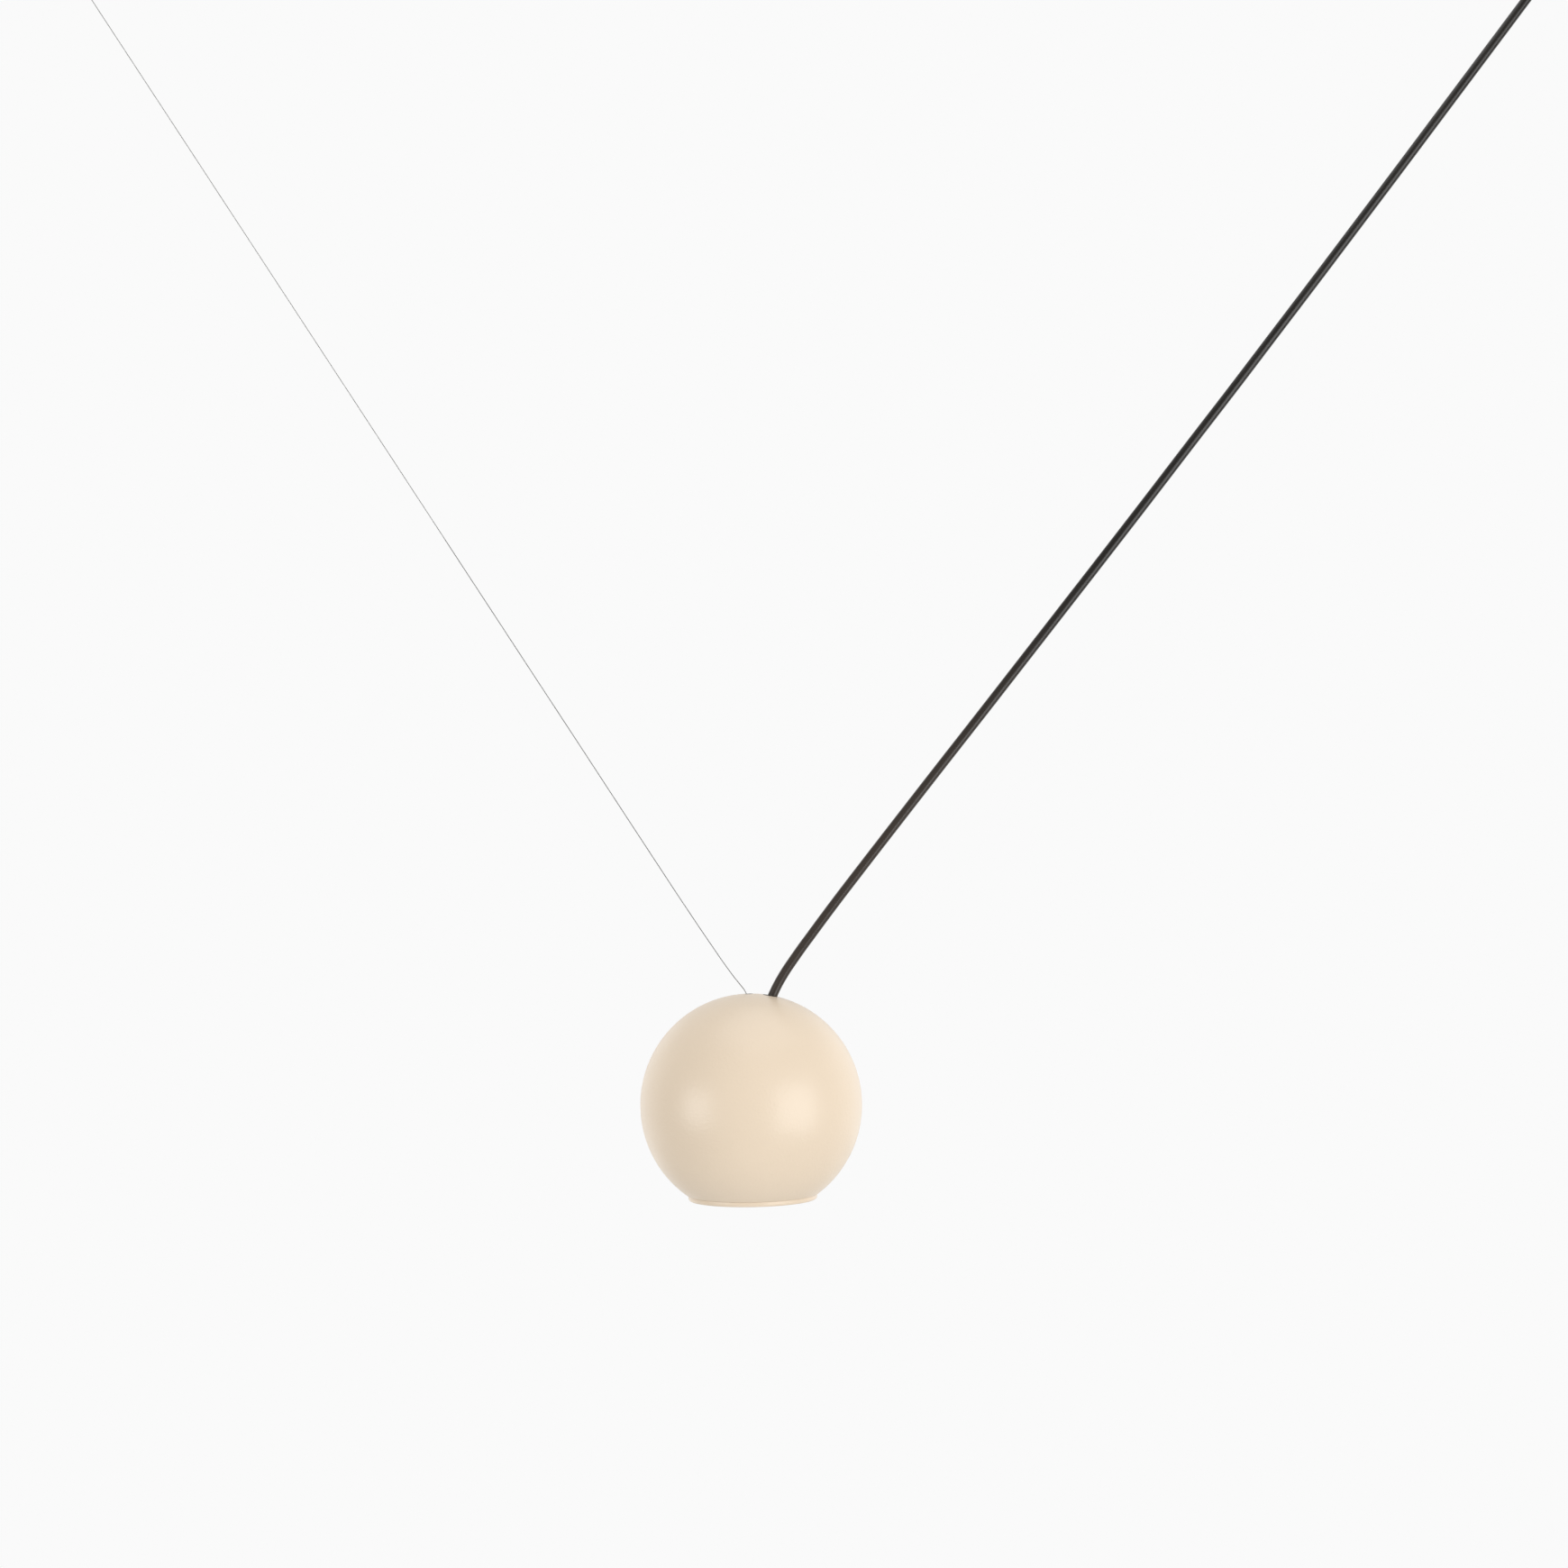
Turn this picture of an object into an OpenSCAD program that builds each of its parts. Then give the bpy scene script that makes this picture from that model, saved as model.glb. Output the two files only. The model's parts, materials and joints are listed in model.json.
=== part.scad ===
// Ball pendant light that hangs in a V from its power cable and a thin steel wire.
// Millimetres, +Z up. The ceiling is z = 0, and the origin is the middle of the canopy on it.
// The pendant swings about the line through the two swivel balls, which lies along X.

/* [Hanging layout] */
// Distance along the ceiling from the canopy to the wire anchor
fixing_span = 954; // [900:1:1000]
// Distance along the ceiling from the canopy to the middle of the globe
globe_offset = 515; // [480:1:550]
// Drop from the ceiling to the middle of the globe
globe_drop = 754; // [700:1:900]
// Drop from the ceiling to the middle of both swivel balls
swivel_drop = 22; // [21:0.5:30]
// Lean of the globe, with its top towards the wire
globe_tilt = 1; // [0:0.1:2]
// Swing of the pendant to either side that the swivels leave free
swing = 20; // [5:1:22]

/* [Globe shell] */
// Outer diameter of the globe
globe_d = 140; // [134:1:160]
// Thickness of the drawn shell
shell_wall = 2; // [1:0.1:3]
// Diameter of the light ring below the flat cut
ring_d = 81.3; // [76:0.1:86]
// How far the edge of the flat cut stands out beyond the ring
cut_edge = 0.4; // [0:0.1:1]
// Diameter of the cable's hole
cable_hole_d = 9.4; // [8:0.1:12]
// Distance of the cable's hole from the globe's axis
cable_hole_x = 13.2; // [12:0.1:15]
// Diameter of the wire's hole, on the globe's axis
wire_hole_d = 5; // [4:0.1:8]

/* [Light ring] */
// Height of the ring that shows below the globe
ring_h = 3; // [2.6:0.1:6]
// Shadow gap between the globe and the ring
ring_gap = 0.1; // [0.05:0.05:0.5]
// Rounding of the ring's lower outer edge
ring_round = 1.6; // [0.4:0.1:2]
// Thickness of the lip that carries the diffuser
lip_t = 1.8; // [1:0.1:2.5]
// Width of the lip that carries the diffuser
lip_w = 2.4; // [1.5:0.1:5]
// Height of the ring's spigot inside the globe
spigot_h = 10.5; // [9:0.5:14]
// Thickness of the ring's spigot
spigot_wall = 2.4; // [1.5:0.1:4]
// Thickness of the diffuser
diffuser_t = 2.5; // [1.5:0.1:4]
// Turn that frees the ring from its bayonet
ring_turn = 25; // [15:1:40]
// Height of a bayonet lug
lug_h = 3; // [2:0.1:4]
// Width of a bayonet lug, as an angle
lug_angle = 14; // [8:1:20]

/* [Lamp engine] */
// Depth of the lamp chamber between the heat sink's plate and the foot of its skirt
skirt_h = 19; // [16:0.5:25]
// Thickness of the skirt
skirt_wall = 2; // [1.5:0.1:3]
// Thickness of the heat sink's plate
plate_t = 4; // [3:0.5:6]
// Height of the cooling fins
fin_h = 18; // [8:1:22]
// Thickness of a cooling fin
fin_t = 1.6; // [1:0.1:2.5]
// Spacing of the cooling fins
fin_pitch = 4.2; // [3.5:0.1:6]
// Diameter of the light board
board_d = 26; // [20:1:28]
// Thickness of the light board
board_t = 1.6; // [1:0.1:2]
// Diameter of the light source on the board
chip_d = 14; // [8:1:16]
// Height of the light source on the board
chip_t = 0.8; // [0.5:0.1:1.5]
// Thickness of the reflector
reflector_wall = 1; // [0.6:0.1:1.5]
// Height of the driver
driver_h = 40; // [25:1:44]
// Depth of the driver
driver_depth = 22; // [16:1:24]
// Height of the terminal block on the driver
block_h = 13; // [8:1:14]

/* [Inner frame] */
// Room between the cable clamp and the frame's leg
leg_gap = 1.8; // [1:0.1:3]
// Depth of the folded frame
frame_depth = 24; // [20:1:26]
// Thickness of the frame's strip
strip_t = 2; // [1.5:0.1:2.5]
// Outer radius of the frame's upper bends
bend_r = 4; // [3:0.5:5]
// Length of the frame's feet
foot_l = 10; // [8:0.5:12]
// Height of the cable clamp's saddle
saddle_h = 9; // [6:0.5:9]
// Diameter of the small screws in the globe
small_screw_d = 2.5; // [2:0.1:2.6]

/* [Cable and wire] */
// Diameter of the power cable
cable_d = 6; // [5:0.1:6.2]
// Diameter of the steel wire
wire_d = 0.6; // [0.5:0.05:0.7]
// Diameter of the wire's end ferrule
ferrule_d = 4; // [3:0.1:5]
// Length of the wire's end ferrule
ferrule_l = 7; // [5:0.5:9]
// Diameter of an insulated core of the cable
core_d = 1.5; // [1:0.1:1.6]

/* [Canopy] */
// Diameter of the canopy
canopy_d = 100; // [94:1:130]
// Thickness of the canopy's wall
canopy_wall = 1.8; // [1:0.1:3]
// Radius of the canopy's lower edge
canopy_edge = 8; // [4:0.5:9]
// Gap between the canopy's rim and the ceiling
ceiling_gap = 0.5; // [0.2:0.1:2]
// Thickness of the ceiling bracket
bracket_t = 2; // [1.5:0.1:3]
// Distance between the bracket's two ceiling screws
bracket_holes = 60; // [54:1:70]
// Diameter of the bracket's ceiling screw holes
bracket_hole_d = 5; // [4:0.1:6]
// Distance of the supply hole from the middle of the bracket
supply_x = 32; // [28:1:36]
// Diameter of the supply hole
supply_d = 14; // [8:1:18]
// Diameter of the screws that hold the canopy
canopy_screw_d = 4; // [3:0.5:5]
// Diameter of the canopy's swivel ball
swivel_d = 28; // [27:0.5:30]
// Wall of the swivel's socket
socket_wall = 3.3; // [2.6:0.1:5]
// Diameter of the cable's strain relief where it leaves the ball
relief_d = 10; // [9:0.1:10.4]
// Diameter of the strain relief at its tip
relief_tip_d = 7.8; // [7:0.1:8.5]
// Reach of the strain relief below the middle of the ball
relief_l = 38; // [30:1:40]

/* [Wire anchor] */
// Diameter of the anchor
anchor_d = 24; // [22:0.5:30]
// Thickness of the anchor's flange on the ceiling
flange_t = 3; // [2:0.5:5]
// Length of the anchor's threaded stub below its flange
stub_l = 7; // [5:0.5:7]
// Diameter of the anchor's ceiling screw hole
anchor_hole_d = 5; // [4:0.1:6]
// Diameter of the screw head's seat in the anchor
anchor_head_d = 9.5; // [8:0.1:10]
// Diameter of the wire gripper's ball
knuckle_d = 14; // [13.5:0.1:15]
// Diameter of the neck below that ball
neck_d = 4.4; // [4:0.1:4.6]

/* [Wire gripper] */
// Diameter of the gripper's sleeve
sleeve_d = 7; // [6.6:0.1:8]
// Length of the gripper's sleeve
sleeve_l = 21.5; // [21:0.5:24]
// Diameter of the spring chamber
chamber_d = 5.2; // [5:0.1:5.4]
// Length of the gripping taper
taper_l = 7; // [6:0.5:8]
// Diameter of a clamping ball
clamp_ball_d = 1.4; // [1.2:0.1:1.5]
// Diameter of the release plunger
plunger_d = 2.8; // [2.4:0.1:3]
// Travel of the release plunger
release = 2.5; // [1.5:0.1:2.8]
// Number of turns in the plunger's spring
spring_turns = 5; // [3:1:6]
// Diameter of the spring's wire
spring_wire_d = 0.5; // [0.3:0.05:0.6]

/* [Hidden] */

$fn = 96;
// Clearance between pieces that move, and between pieces that are fixed together
run = 0.3;
snug = 0.1;
// Overlap that lets one shape join or cut another cleanly
over = 1;

// Where the main groups sit
globe_at = [-globe_offset, 0, -globe_drop];
cable_swivel = [0, 0, -swivel_drop];
wire_swivel = [-fixing_span, 0, -swivel_drop];

// Routes of the cable and the wire, each [x, z] from the middle of the globe, upwards.
// The first points of each keep their place at the top of the globe.
globe_r = globe_d / 2;
function at_top(points) = [for (p = points) [p[0], p[1] + globe_r]];
cable_route = concat(
    at_top([
        [10.1, -30], [9.9, -18], [10.3, -12], [11.6, -6], [14, 0], [19.4, 10.4], [28.4, 24],
        [38.4, 37.8], [53.4, 58], [66.4, 75],
    ]),
    [
        [93, 179.4], [119.6, 213.6], [146.2, 247.6], [172.8, 281.8], [199.4, 316], [225.8, 350],
        [252.2, 384.2], [278.4, 418.4], [304.6, 452.4], [330.6, 486.6], [356.6, 520.8],
        [382.4, 555], [408, 589], [433.6, 623.2], [461, 659.8], [488.4, 696.4], [515, 732],
        [525.2, 745.65],
    ]
);
wire_route = concat(
    at_top([
        [-0.95, -16], [-1.05, -9], [-1.5, -5], [-2.3, -2], [-3.6, 1.2], [-7.2, 6], [-12, 12],
        [-18.2, 20.6], [-24.8, 30.2], [-33, 42.2], [-48.2, 65],
    ]),
    [
        [-77.7, 180], [-107.1, 225], [-136.6, 270], [-195.5, 360], [-254.4, 450], [-313.3, 540],
        [-372.2, 630], [-401.7, 675], [-439, 732], [-443.9, 739.5],
    ]
);
function lean_of(route) =
    let (n = len(route), d = route[n - 1] - route[n - 2]) atan2(d[0], d[1]);
cable_lean = lean_of(cable_route);
wire_lean = lean_of(wire_route);
// Steepest lean of a cord from straight down, at the ends of the swing
function full_lean(lean) = acos(cos(lean) * cos(swing));
function ball_opening(lean, stem_d, ball_d) = full_lean(lean) + asin(stem_d / ball_d) + 3;

// Globe, in its own frame: the middle of the ball, +Z along its axis
shell_ri = globe_r - shell_wall;
ring_r = ring_d / 2;
cut_r = ring_r + cut_edge;
cut_depth = sqrt(globe_r * globe_r - cut_r * cut_r);
mouth_r = sqrt(shell_ri * shell_ri - cut_depth * cut_depth);

// Light ring and diffuser
ring_top = -cut_depth - ring_gap;
ring_bottom = ring_top - ring_h;
spigot_top = ring_top + spigot_h;
spigot_ro = mouth_r - run;
spigot_ri = spigot_ro - spigot_wall;
lip_z = ring_bottom + lip_t;
diffuser_r = spigot_ri - snug;
aperture_r = diffuser_r - lip_w;
diffuser_top = lip_z + diffuser_t;
lug_top = spigot_top - 1;

// Lamp engine
skirt_ro = spigot_ri - run;
skirt_ri = skirt_ro - skirt_wall;
skirt_z = diffuser_top + run;
plate_z = skirt_z + skirt_h;
plate_top = plate_z + plate_t;
board_z = plate_z - board_t;
chip_z = board_z - chip_t;
lead_x = 3;
lead_d = 1.6;

// End of the cable's sheath, in the globe's frame
sheath = cable_route[0];
clamp_x = sheath[0] * cos(globe_tilt) + sheath[1] * sin(globe_tilt);
sheath_z = sheath[1] * cos(globe_tilt) - sheath[0] * sin(globe_tilt);

// Cable clamp, a little above the end of the sheath
clamp_r = cable_d / 2 + snug;
clamp_screw_x = clamp_r + small_screw_d / 2 + 0.6;
tongue_w = 2 * clamp_screw_x + small_screw_d + 2.4;
tongue_z = sheath_z + 1.4;
saddle_y = 5.6;

// Inner frame, which stands on the heat sink's plate and reaches up under the dome
frame_w = 2 * (clamp_x + tongue_w / 2 + leg_gap + strip_t);
web_end = [frame_w / 2 - bend_r, frame_depth / 2];
web_top = sqrt(shell_ri * shell_ri - web_end * web_end) - run;
web_z = web_top - strip_t;
foot_top = plate_top + strip_t;
foot_x = frame_w / 2 - strip_t - foot_l / 2;
frame_gap = frame_w - 2 * strip_t;
web_cable_x = clamp_x + 1.6;
web_cable_d = cable_d + 2.4;
web_wire_d = wire_d + 1.4;
driver_top = foot_top + driver_h;
block_half = frame_gap / 2 - snug - clamp_x;
block_top = driver_top + block_h;
core_pitch = 0.55 * block_half;
core_rise = min(3, 0.5 * (sheath_z - block_top));

// Canopy and its swivel
canopy_ri = canopy_d / 2 - canopy_wall;
bracket_r = canopy_ri - run;
tab_t = 2;
tab_foot = 7;
tab_ro = bracket_r - 0.5;
tab_angle = 14;
tab_l = 14;
canopy_screw_z = -bracket_t - tab_l / 2;
canopy_screw_turns = [60, 180, 300];
ball_r = swivel_d / 2;
socket_r = ball_r + run;
socket_angle = ball_opening(cable_lean, relief_d, swivel_d);
socket_mouth = socket_r * sin(socket_angle);
socket_lip_z = -socket_r * cos(socket_angle);
socket_lip_t = 2.2;
socket_bottom = socket_lip_z - socket_lip_t;
canopy_h = swivel_drop - socket_bottom;
socket_ro = socket_r + socket_wall;
socket_flange_r = socket_ro + 3.5;
socket_flange_z = socket_bottom + canopy_wall + snug;
socket_flange_t = 2.4;
socket_top = 5;
swivel_ring_ro = socket_r + 1.5;
ball_flat = 0.86 * ball_r;
relief_head_d = 13;
relief_head_t = 3;
cable_bore_d = cable_d + 2 * snug;
supply_block = [14, 32, 12];
supply_block_x = tab_foot + 1.4 + supply_block[0] / 2 - tab_ro;

// Wire anchor and gripper, the gripper in the frame of its ball with +Z along the wire
anchor_bore_r = knuckle_d / 2 + run + 0.6;
knuckle_r = knuckle_d / 2;
cup_r = knuckle_r + run;
cup_angle = ball_opening(wire_lean, neck_d, knuckle_d);
cup_lip_z = -cup_r * cos(cup_angle);
cup_bottom = cup_lip_z - 0.9;
stub_z = -flange_t - stub_l;
wire_bore_d = wire_d + 0.4;
neck_z = -10.5;
plug_l = 4.5;
plug_r = sleeve_d / 2 - 0.6;
plug_z = neck_z - plug_l;
sleeve_z = neck_z - sleeve_l;
nose_l = 2.5;
nose_bore_r = plunger_d / 2 + 0.15;
taper_z = sleeve_z + nose_l;
taper_top = taper_z + taper_l;
chamber_r = chamber_d / 2;
throat_r = nose_bore_r + 0.2;
// A clamping ball rests against the wire and the taper, with a hair of room at both
ball_hair = 0.04;
ball_ring_r = wire_d / 2 + clamp_ball_d / 2 + ball_hair;
taper_angle = atan((chamber_r - throat_r) / taper_l);
ball_touch_r = ball_ring_r + (clamp_ball_d / 2 + ball_hair) / cos(taper_angle);
clamp_ball_z = taper_z + (ball_touch_r - throat_r) / tan(taper_angle);
plunger_head_r = chamber_r - 0.2;
plunger_head_t = 1.2;
plunger_head_z = taper_top + run;
plunger_head_top = plunger_head_z + plunger_head_t;
button_t = 1.8;
button_top = sleeve_z - release - 0.6;
spring_r = chamber_r - spring_wire_d / 2 - 0.3;
spring_z = plunger_head_top + spring_wire_d / 2 + snug;
spring_l = plug_z - plunger_head_top - spring_wire_d - 2 * snug;

// Points of a smooth curve through the given points, with steps spans between each pair
function smooth_path(p, steps) = [
    for (i = [0:len(p) - 2], s = [0:steps - 1])
        let (
            a = p[max(i - 1, 0)], b = p[i], c = p[i + 1], d = p[min(i + 2, len(p) - 1)], t = s / steps
        )
        b + t / 2 * (c - a) + t * t / 2 * (2 * a - 5 * b + 4 * c - d)
            + t * t * t / 2 * (3 * b - a - 3 * c + d),
    p[len(p) - 1],
];
function placed(route) = [for (p = route) globe_at + [p[0], 0, p[1]]];
function unit(v) = v / norm(v);

// Round tube along points; across holds one direction square to the path at each point
module tube(points, across, d, sides) {
    last = len(points) - 1;
    rings = [
        for (i = [0:last])
            let (
                along = unit(points[min(i + 1, last)] - points[max(i - 1, 0)]),
                u = across[i],
                v = cross(along, u)
            )
            for (k = [0:sides - 1])
                points[i] + d / 2 * (cos(360 * k / sides) * u + sin(360 * k / sides) * v)
    ];
    walls = [
        for (i = [0:last - 1], k = [0:sides - 1])
            let (a = i * sides + k, b = i * sides + (k + 1) % sides)
            each [[a, a + sides, b], [b, a + sides, b + sides]]
    ];
    start = [for (k = [1:sides - 2]) [0, k, k + 1]];
    e = last * sides;
    end = [for (k = [1:sides - 2]) [e, e + k + 1, e + k]];
    polyhedron(rings, concat(walls, start, end));
}

module flat_cord(points, d, sides) {
    tube(points, [for (p = points) [0, 1, 0]], d, sides);
}

module in_globe() { translate(globe_at) rotate([0, -globe_tilt, 0]) children(); }
module on_cable() { translate(cable_swivel) rotate([0, cable_lean, 0]) children(); }
module on_wire() { translate(wire_swivel) rotate([0, wire_lean, 0]) children(); }

module between(z0, z1, r) { translate([0, 0, z0]) cylinder(r = r, h = z1 - z0); }

module block(size, r) {
    linear_extrude(size[2]) {
        square([size[0] - 2 * r, size[1]], center = true);
        square([size[0], size[1] - 2 * r], center = true);
        for (x = [-1, 1], y = [-1, 1])
            translate([x * (size[0] / 2 - r), y * (size[1] / 2 - r)]) circle(r);
    }
}

// Straight round rod from a to b
module rod(a, b, d) {
    v = b - a;
    translate(a) rotate([0, acos(v[2] / norm(v)), atan2(v[1], v[0])]) cylinder(d = d, h = norm(v));
}

// Ceiling bracket, canopy and swivel

module canopy_bracket() {
    color("silver") difference() {
        between(-bracket_t, 0, bracket_r);
        for (y = [-1, 1])
            translate([0, y * bracket_holes / 2, 0]) between(-bracket_t - over, over, bracket_hole_d / 2);
        translate([supply_x, 0, 0]) between(-bracket_t - over, over, supply_d / 2);
    }
}

// Angle clips welded under the bracket, which take the canopy's screws
module canopy_clips() {
    color("silver") for (a = canopy_screw_turns)
        rotate(a) difference() {
            rotate(-tab_angle / 2) rotate_extrude(angle = tab_angle) translate([tab_ro, -bracket_t]) {
                translate([-tab_t, -tab_l]) square([tab_t, tab_l]);
                translate([-tab_foot, -tab_t]) square([tab_foot, tab_t]);
            }
            translate([tab_ro - tab_t - over, 0, canopy_screw_z])
                rotate([0, 90, 0]) cylinder(d = canopy_screw_d + 2 * snug, h = tab_t + 2 * over);
        }
}

// Half section of a cup that hangs below the ceiling
module cup_section(r, depth, edge) {
    translate([0, -depth]) square([r - edge, depth]);
    translate([0, -depth + edge]) square([r, depth - edge]);
    translate([r - edge, -depth + edge]) circle(edge);
}

module canopy_cover() {
    color("wheat") difference() {
        rotate_extrude() intersection() {
            difference() {
                cup_section(canopy_d / 2, canopy_h, canopy_edge);
                cup_section(canopy_ri, canopy_h - canopy_wall, canopy_edge - canopy_wall);
            }
            translate([0, -canopy_h]) square([canopy_d / 2, canopy_h - ceiling_gap]);
        }
        translate(cable_swivel) between(socket_bottom - over, socket_top, socket_ro + snug);
        for (a = canopy_screw_turns)
            rotate(a) translate([canopy_ri - over, 0, canopy_screw_z])
                rotate([0, 90, 0]) cylinder(d = canopy_screw_d + 2 * snug, h = canopy_wall + 2 * over);
    }
}

module canopy_screws() {
    color("silver") for (a = canopy_screw_turns)
        rotate(a) translate([canopy_d / 2, 0, canopy_screw_z]) rotate([0, 90, 0]) difference() {
            union() {
                translate([0, 0, tab_ro - canopy_d / 2 - tab_t - over])
                    cylinder(d = canopy_screw_d, h = canopy_d / 2 - tab_ro + tab_t + 2 * over);
                translate([0, 0, 0.1 * canopy_screw_d])
                    cylinder(d1 = 1.8 * canopy_screw_d, d2 = 1.4 * canopy_screw_d, h = 0.5 * canopy_screw_d);
            }
            translate([-canopy_screw_d, -0.12 * canopy_screw_d, 0.4 * canopy_screw_d])
                cube([2 * canopy_screw_d, 0.24 * canopy_screw_d, canopy_screw_d]);
        }
}

// Screw terminals in a row along Y, with the body below its top face at z = 0
module terminal_strip(size, pitch) {
    difference() {
        translate([0, 0, -size[2]]) block(size, 1);
        for (k = [-1:1]) {
            translate([-size[0] / 4, k * pitch, -size[2] - over])
                cylinder(d = 0.4 * pitch, h = 0.4 * size[2] + over);
            translate([size[0] / 4, k * pitch, -size[2] - over])
                cylinder(d = 0.4 * pitch, h = 0.4 * size[2] + over);
            translate([-size[0] / 2 - over, k * pitch, -0.45 * size[2]])
                rotate([0, 90, 0]) cylinder(d = 0.35 * pitch, h = size[0] + 2 * over);
        }
    }
}

module canopy_terminal_block() {
    color("ivory") translate([supply_block_x, 0, -bracket_t])
        terminal_strip(supply_block, supply_block[1] / 3.2);
}

module swivel_socket() {
    color("gainsboro") translate(cable_swivel) difference() {
        union() {
            between(socket_bottom, socket_top, socket_ro);
            between(socket_flange_z, socket_flange_z + socket_flange_t, socket_flange_r);
        }
        sphere(socket_r);
        between(0, socket_top + over, swivel_ring_ro + snug);
        translate([0, 0, socket_bottom - 0.01])
            cylinder(r1 = socket_mouth + socket_lip_t, r2 = socket_mouth, h = socket_lip_t + 0.02);
    }
}

module swivel_ring() {
    color("silver") translate(cable_swivel) difference() {
        between(run, socket_top - 0.5, swivel_ring_ro);
        sphere(socket_r);
        for (a = [0, 90])
            rotate(a) translate([-swivel_ring_ro - over, -1, socket_top - 2])
                cube([2 * swivel_ring_ro + 2 * over, 2, 2]);
    }
}

module swivel_ball() {
    color("gainsboro") on_cable() difference() {
        sphere(ball_r);
        between(ball_flat, ball_r + over, ball_r);
        between(-ball_r - over, ball_r + over, relief_d / 2 + snug);
    }
}

// Moulded relief: a head on top of the ball, a shank through it and a ribbed taper below
module cable_strain_relief() {
    ribs = 5;
    rib_pitch = (relief_l - ball_r - 3) / ribs;
    color("#222222") on_cable() rotate_extrude() difference() {
        polygon([
            [cable_bore_d / 2, ball_flat + relief_head_t],
            [relief_head_d / 2, ball_flat + relief_head_t],
            [relief_head_d / 2, ball_flat + snug],
            [relief_d / 2, ball_flat + snug],
            [relief_d / 2, -ball_r - 2],
            [relief_tip_d / 2, -relief_l],
            [cable_bore_d / 2, -relief_l],
        ]);
        for (k = [0:ribs - 1])
            translate([cable_bore_d / 2 + 0.6, -relief_l + 2 + k * rib_pitch])
                square([relief_d, 0.35 * rib_pitch]);
    }
}

// Ceiling anchor of the wire and its self-locking gripper

module anchor_base() {
    color("silver") translate([wire_swivel[0], 0, 0]) difference() {
        union() {
            between(-flange_t, 0, anchor_d / 2);
            between(stub_z, 0, anchor_bore_r - snug);
        }
        between(stub_z - over, over, anchor_hole_d / 2);
        between(stub_z - over, stub_z + stub_l / 2, anchor_head_d / 2);
    }
}

module anchor_cap() {
    edge = 2;
    cap_l = swivel_drop - cup_bottom;
    color("silver") translate([wire_swivel[0], 0, 0]) difference() {
        rotate_extrude() intersection() {
            cup_section(anchor_d / 2, cap_l, edge);
            translate([0, -cap_l]) square([anchor_d, cap_l - flange_t]);
        }
        between(-swivel_drop, over, anchor_bore_r);
        translate([0, 0, -swivel_drop]) {
            sphere(cup_r);
            translate([0, 0, cup_bottom - 0.01])
                cylinder(r1 = cup_r * sin(cup_angle) + 1.2, r2 = cup_r * sin(cup_angle), h = 0.92);
        }
    }
}

module gripper_head() {
    color("silver") on_wire() difference() {
        union() {
            sphere(knuckle_r);
            between(neck_z, 0, neck_d / 2);
            between(plug_z, neck_z + 0.8, plug_r);
        }
        between(plug_z - over, knuckle_r + over, wire_bore_d / 2);
    }
}

module gripper_sleeve() {
    chamfer = 0.6;
    color("gainsboro") on_wire() difference() {
        rotate_extrude() polygon([
            [0, sleeve_z], [sleeve_d / 2 - chamfer, sleeve_z], [sleeve_d / 2, sleeve_z + chamfer],
            [sleeve_d / 2, neck_z - chamfer], [sleeve_d / 2 - chamfer, neck_z], [0, neck_z],
        ]);
        between(plug_z - snug, neck_z + over, plug_r + snug);
        between(taper_top, neck_z, chamber_r);
        translate([0, 0, taper_z]) cylinder(r1 = throat_r, r2 = chamber_r, h = taper_l);
        between(sleeve_z - over, taper_top, nose_bore_r);
    }
}

// Tube that cages the clamping balls, with a head under the spring and a button below the sleeve
module gripper_plunger() {
    color("gold") on_wire() difference() {
        union() {
            between(button_top - button_t, plunger_head_top, plunger_d / 2);
            between(plunger_head_z, plunger_head_top, plunger_head_r);
            between(button_top - button_t, button_top, sleeve_d / 2 - 0.8);
        }
        between(button_top - button_t - over, plunger_head_top + over, wire_d / 2 + 0.12);
        for (a = [0:120:240])
            rotate(a) translate([0, 0, clamp_ball_z]) rotate([0, 90, 0])
                cylinder(d = clamp_ball_d + 0.1, h = plunger_d);
    }
}

module gripper_balls() {
    color("white") on_wire() for (a = [0:120:240])
        rotate(a) translate([ball_ring_r, 0, clamp_ball_z]) sphere(d = clamp_ball_d, $fn = 32);
}

module gripper_spring() {
    steps = 8;
    last = spring_turns * steps;
    turns = [for (i = [0:last]) 360 * i / steps];
    across = [for (a = turns) [cos(a), sin(a), 0]];
    points = [for (i = [0:last]) spring_r * across[i] + [0, 0, spring_z + spring_l * i / last]];
    echo(spring_gap = min([for (i = [0:last - steps]) norm(points[i + steps] - points[i])]) - spring_wire_d);
    color("dimgray") on_wire() tube(points, across, spring_wire_d, 6);
}

// Cords

module power_cable() {
    color("#161412") flat_cord(smooth_path(placed(cable_route), 2), cable_d, 10);
}

module suspension_wire() {
    color("silver") flat_cord(placed(wire_route), wire_d, 8);
}

module wire_ferrule() {
    color("silver") in_globe() difference() {
        between(web_z - snug - ferrule_l, web_z - snug, ferrule_d / 2);
        between(web_z - ferrule_l - over, web_z + over, wire_d / 2 + 0.12);
    }
}

// Globe: two drawn halves, welded round the widest line and ground flush before the coat

module globe_upper() {
    color("wheat") in_globe() difference() {
        sphere(globe_r);
        sphere(shell_ri);
        between(-globe_d, 0, globe_d);
        between(0, globe_r + over, wire_hole_d / 2);
        translate([cable_hole_x, 0, 0]) between(0, globe_r + over, cable_hole_d / 2);
    }
}

module globe_lower() {
    color("wheat") in_globe() difference() {
        sphere(globe_r);
        sphere(shell_ri);
        between(0, globe_d, globe_d);
        between(-globe_d, -cut_depth, globe_d);
    }
}

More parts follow.
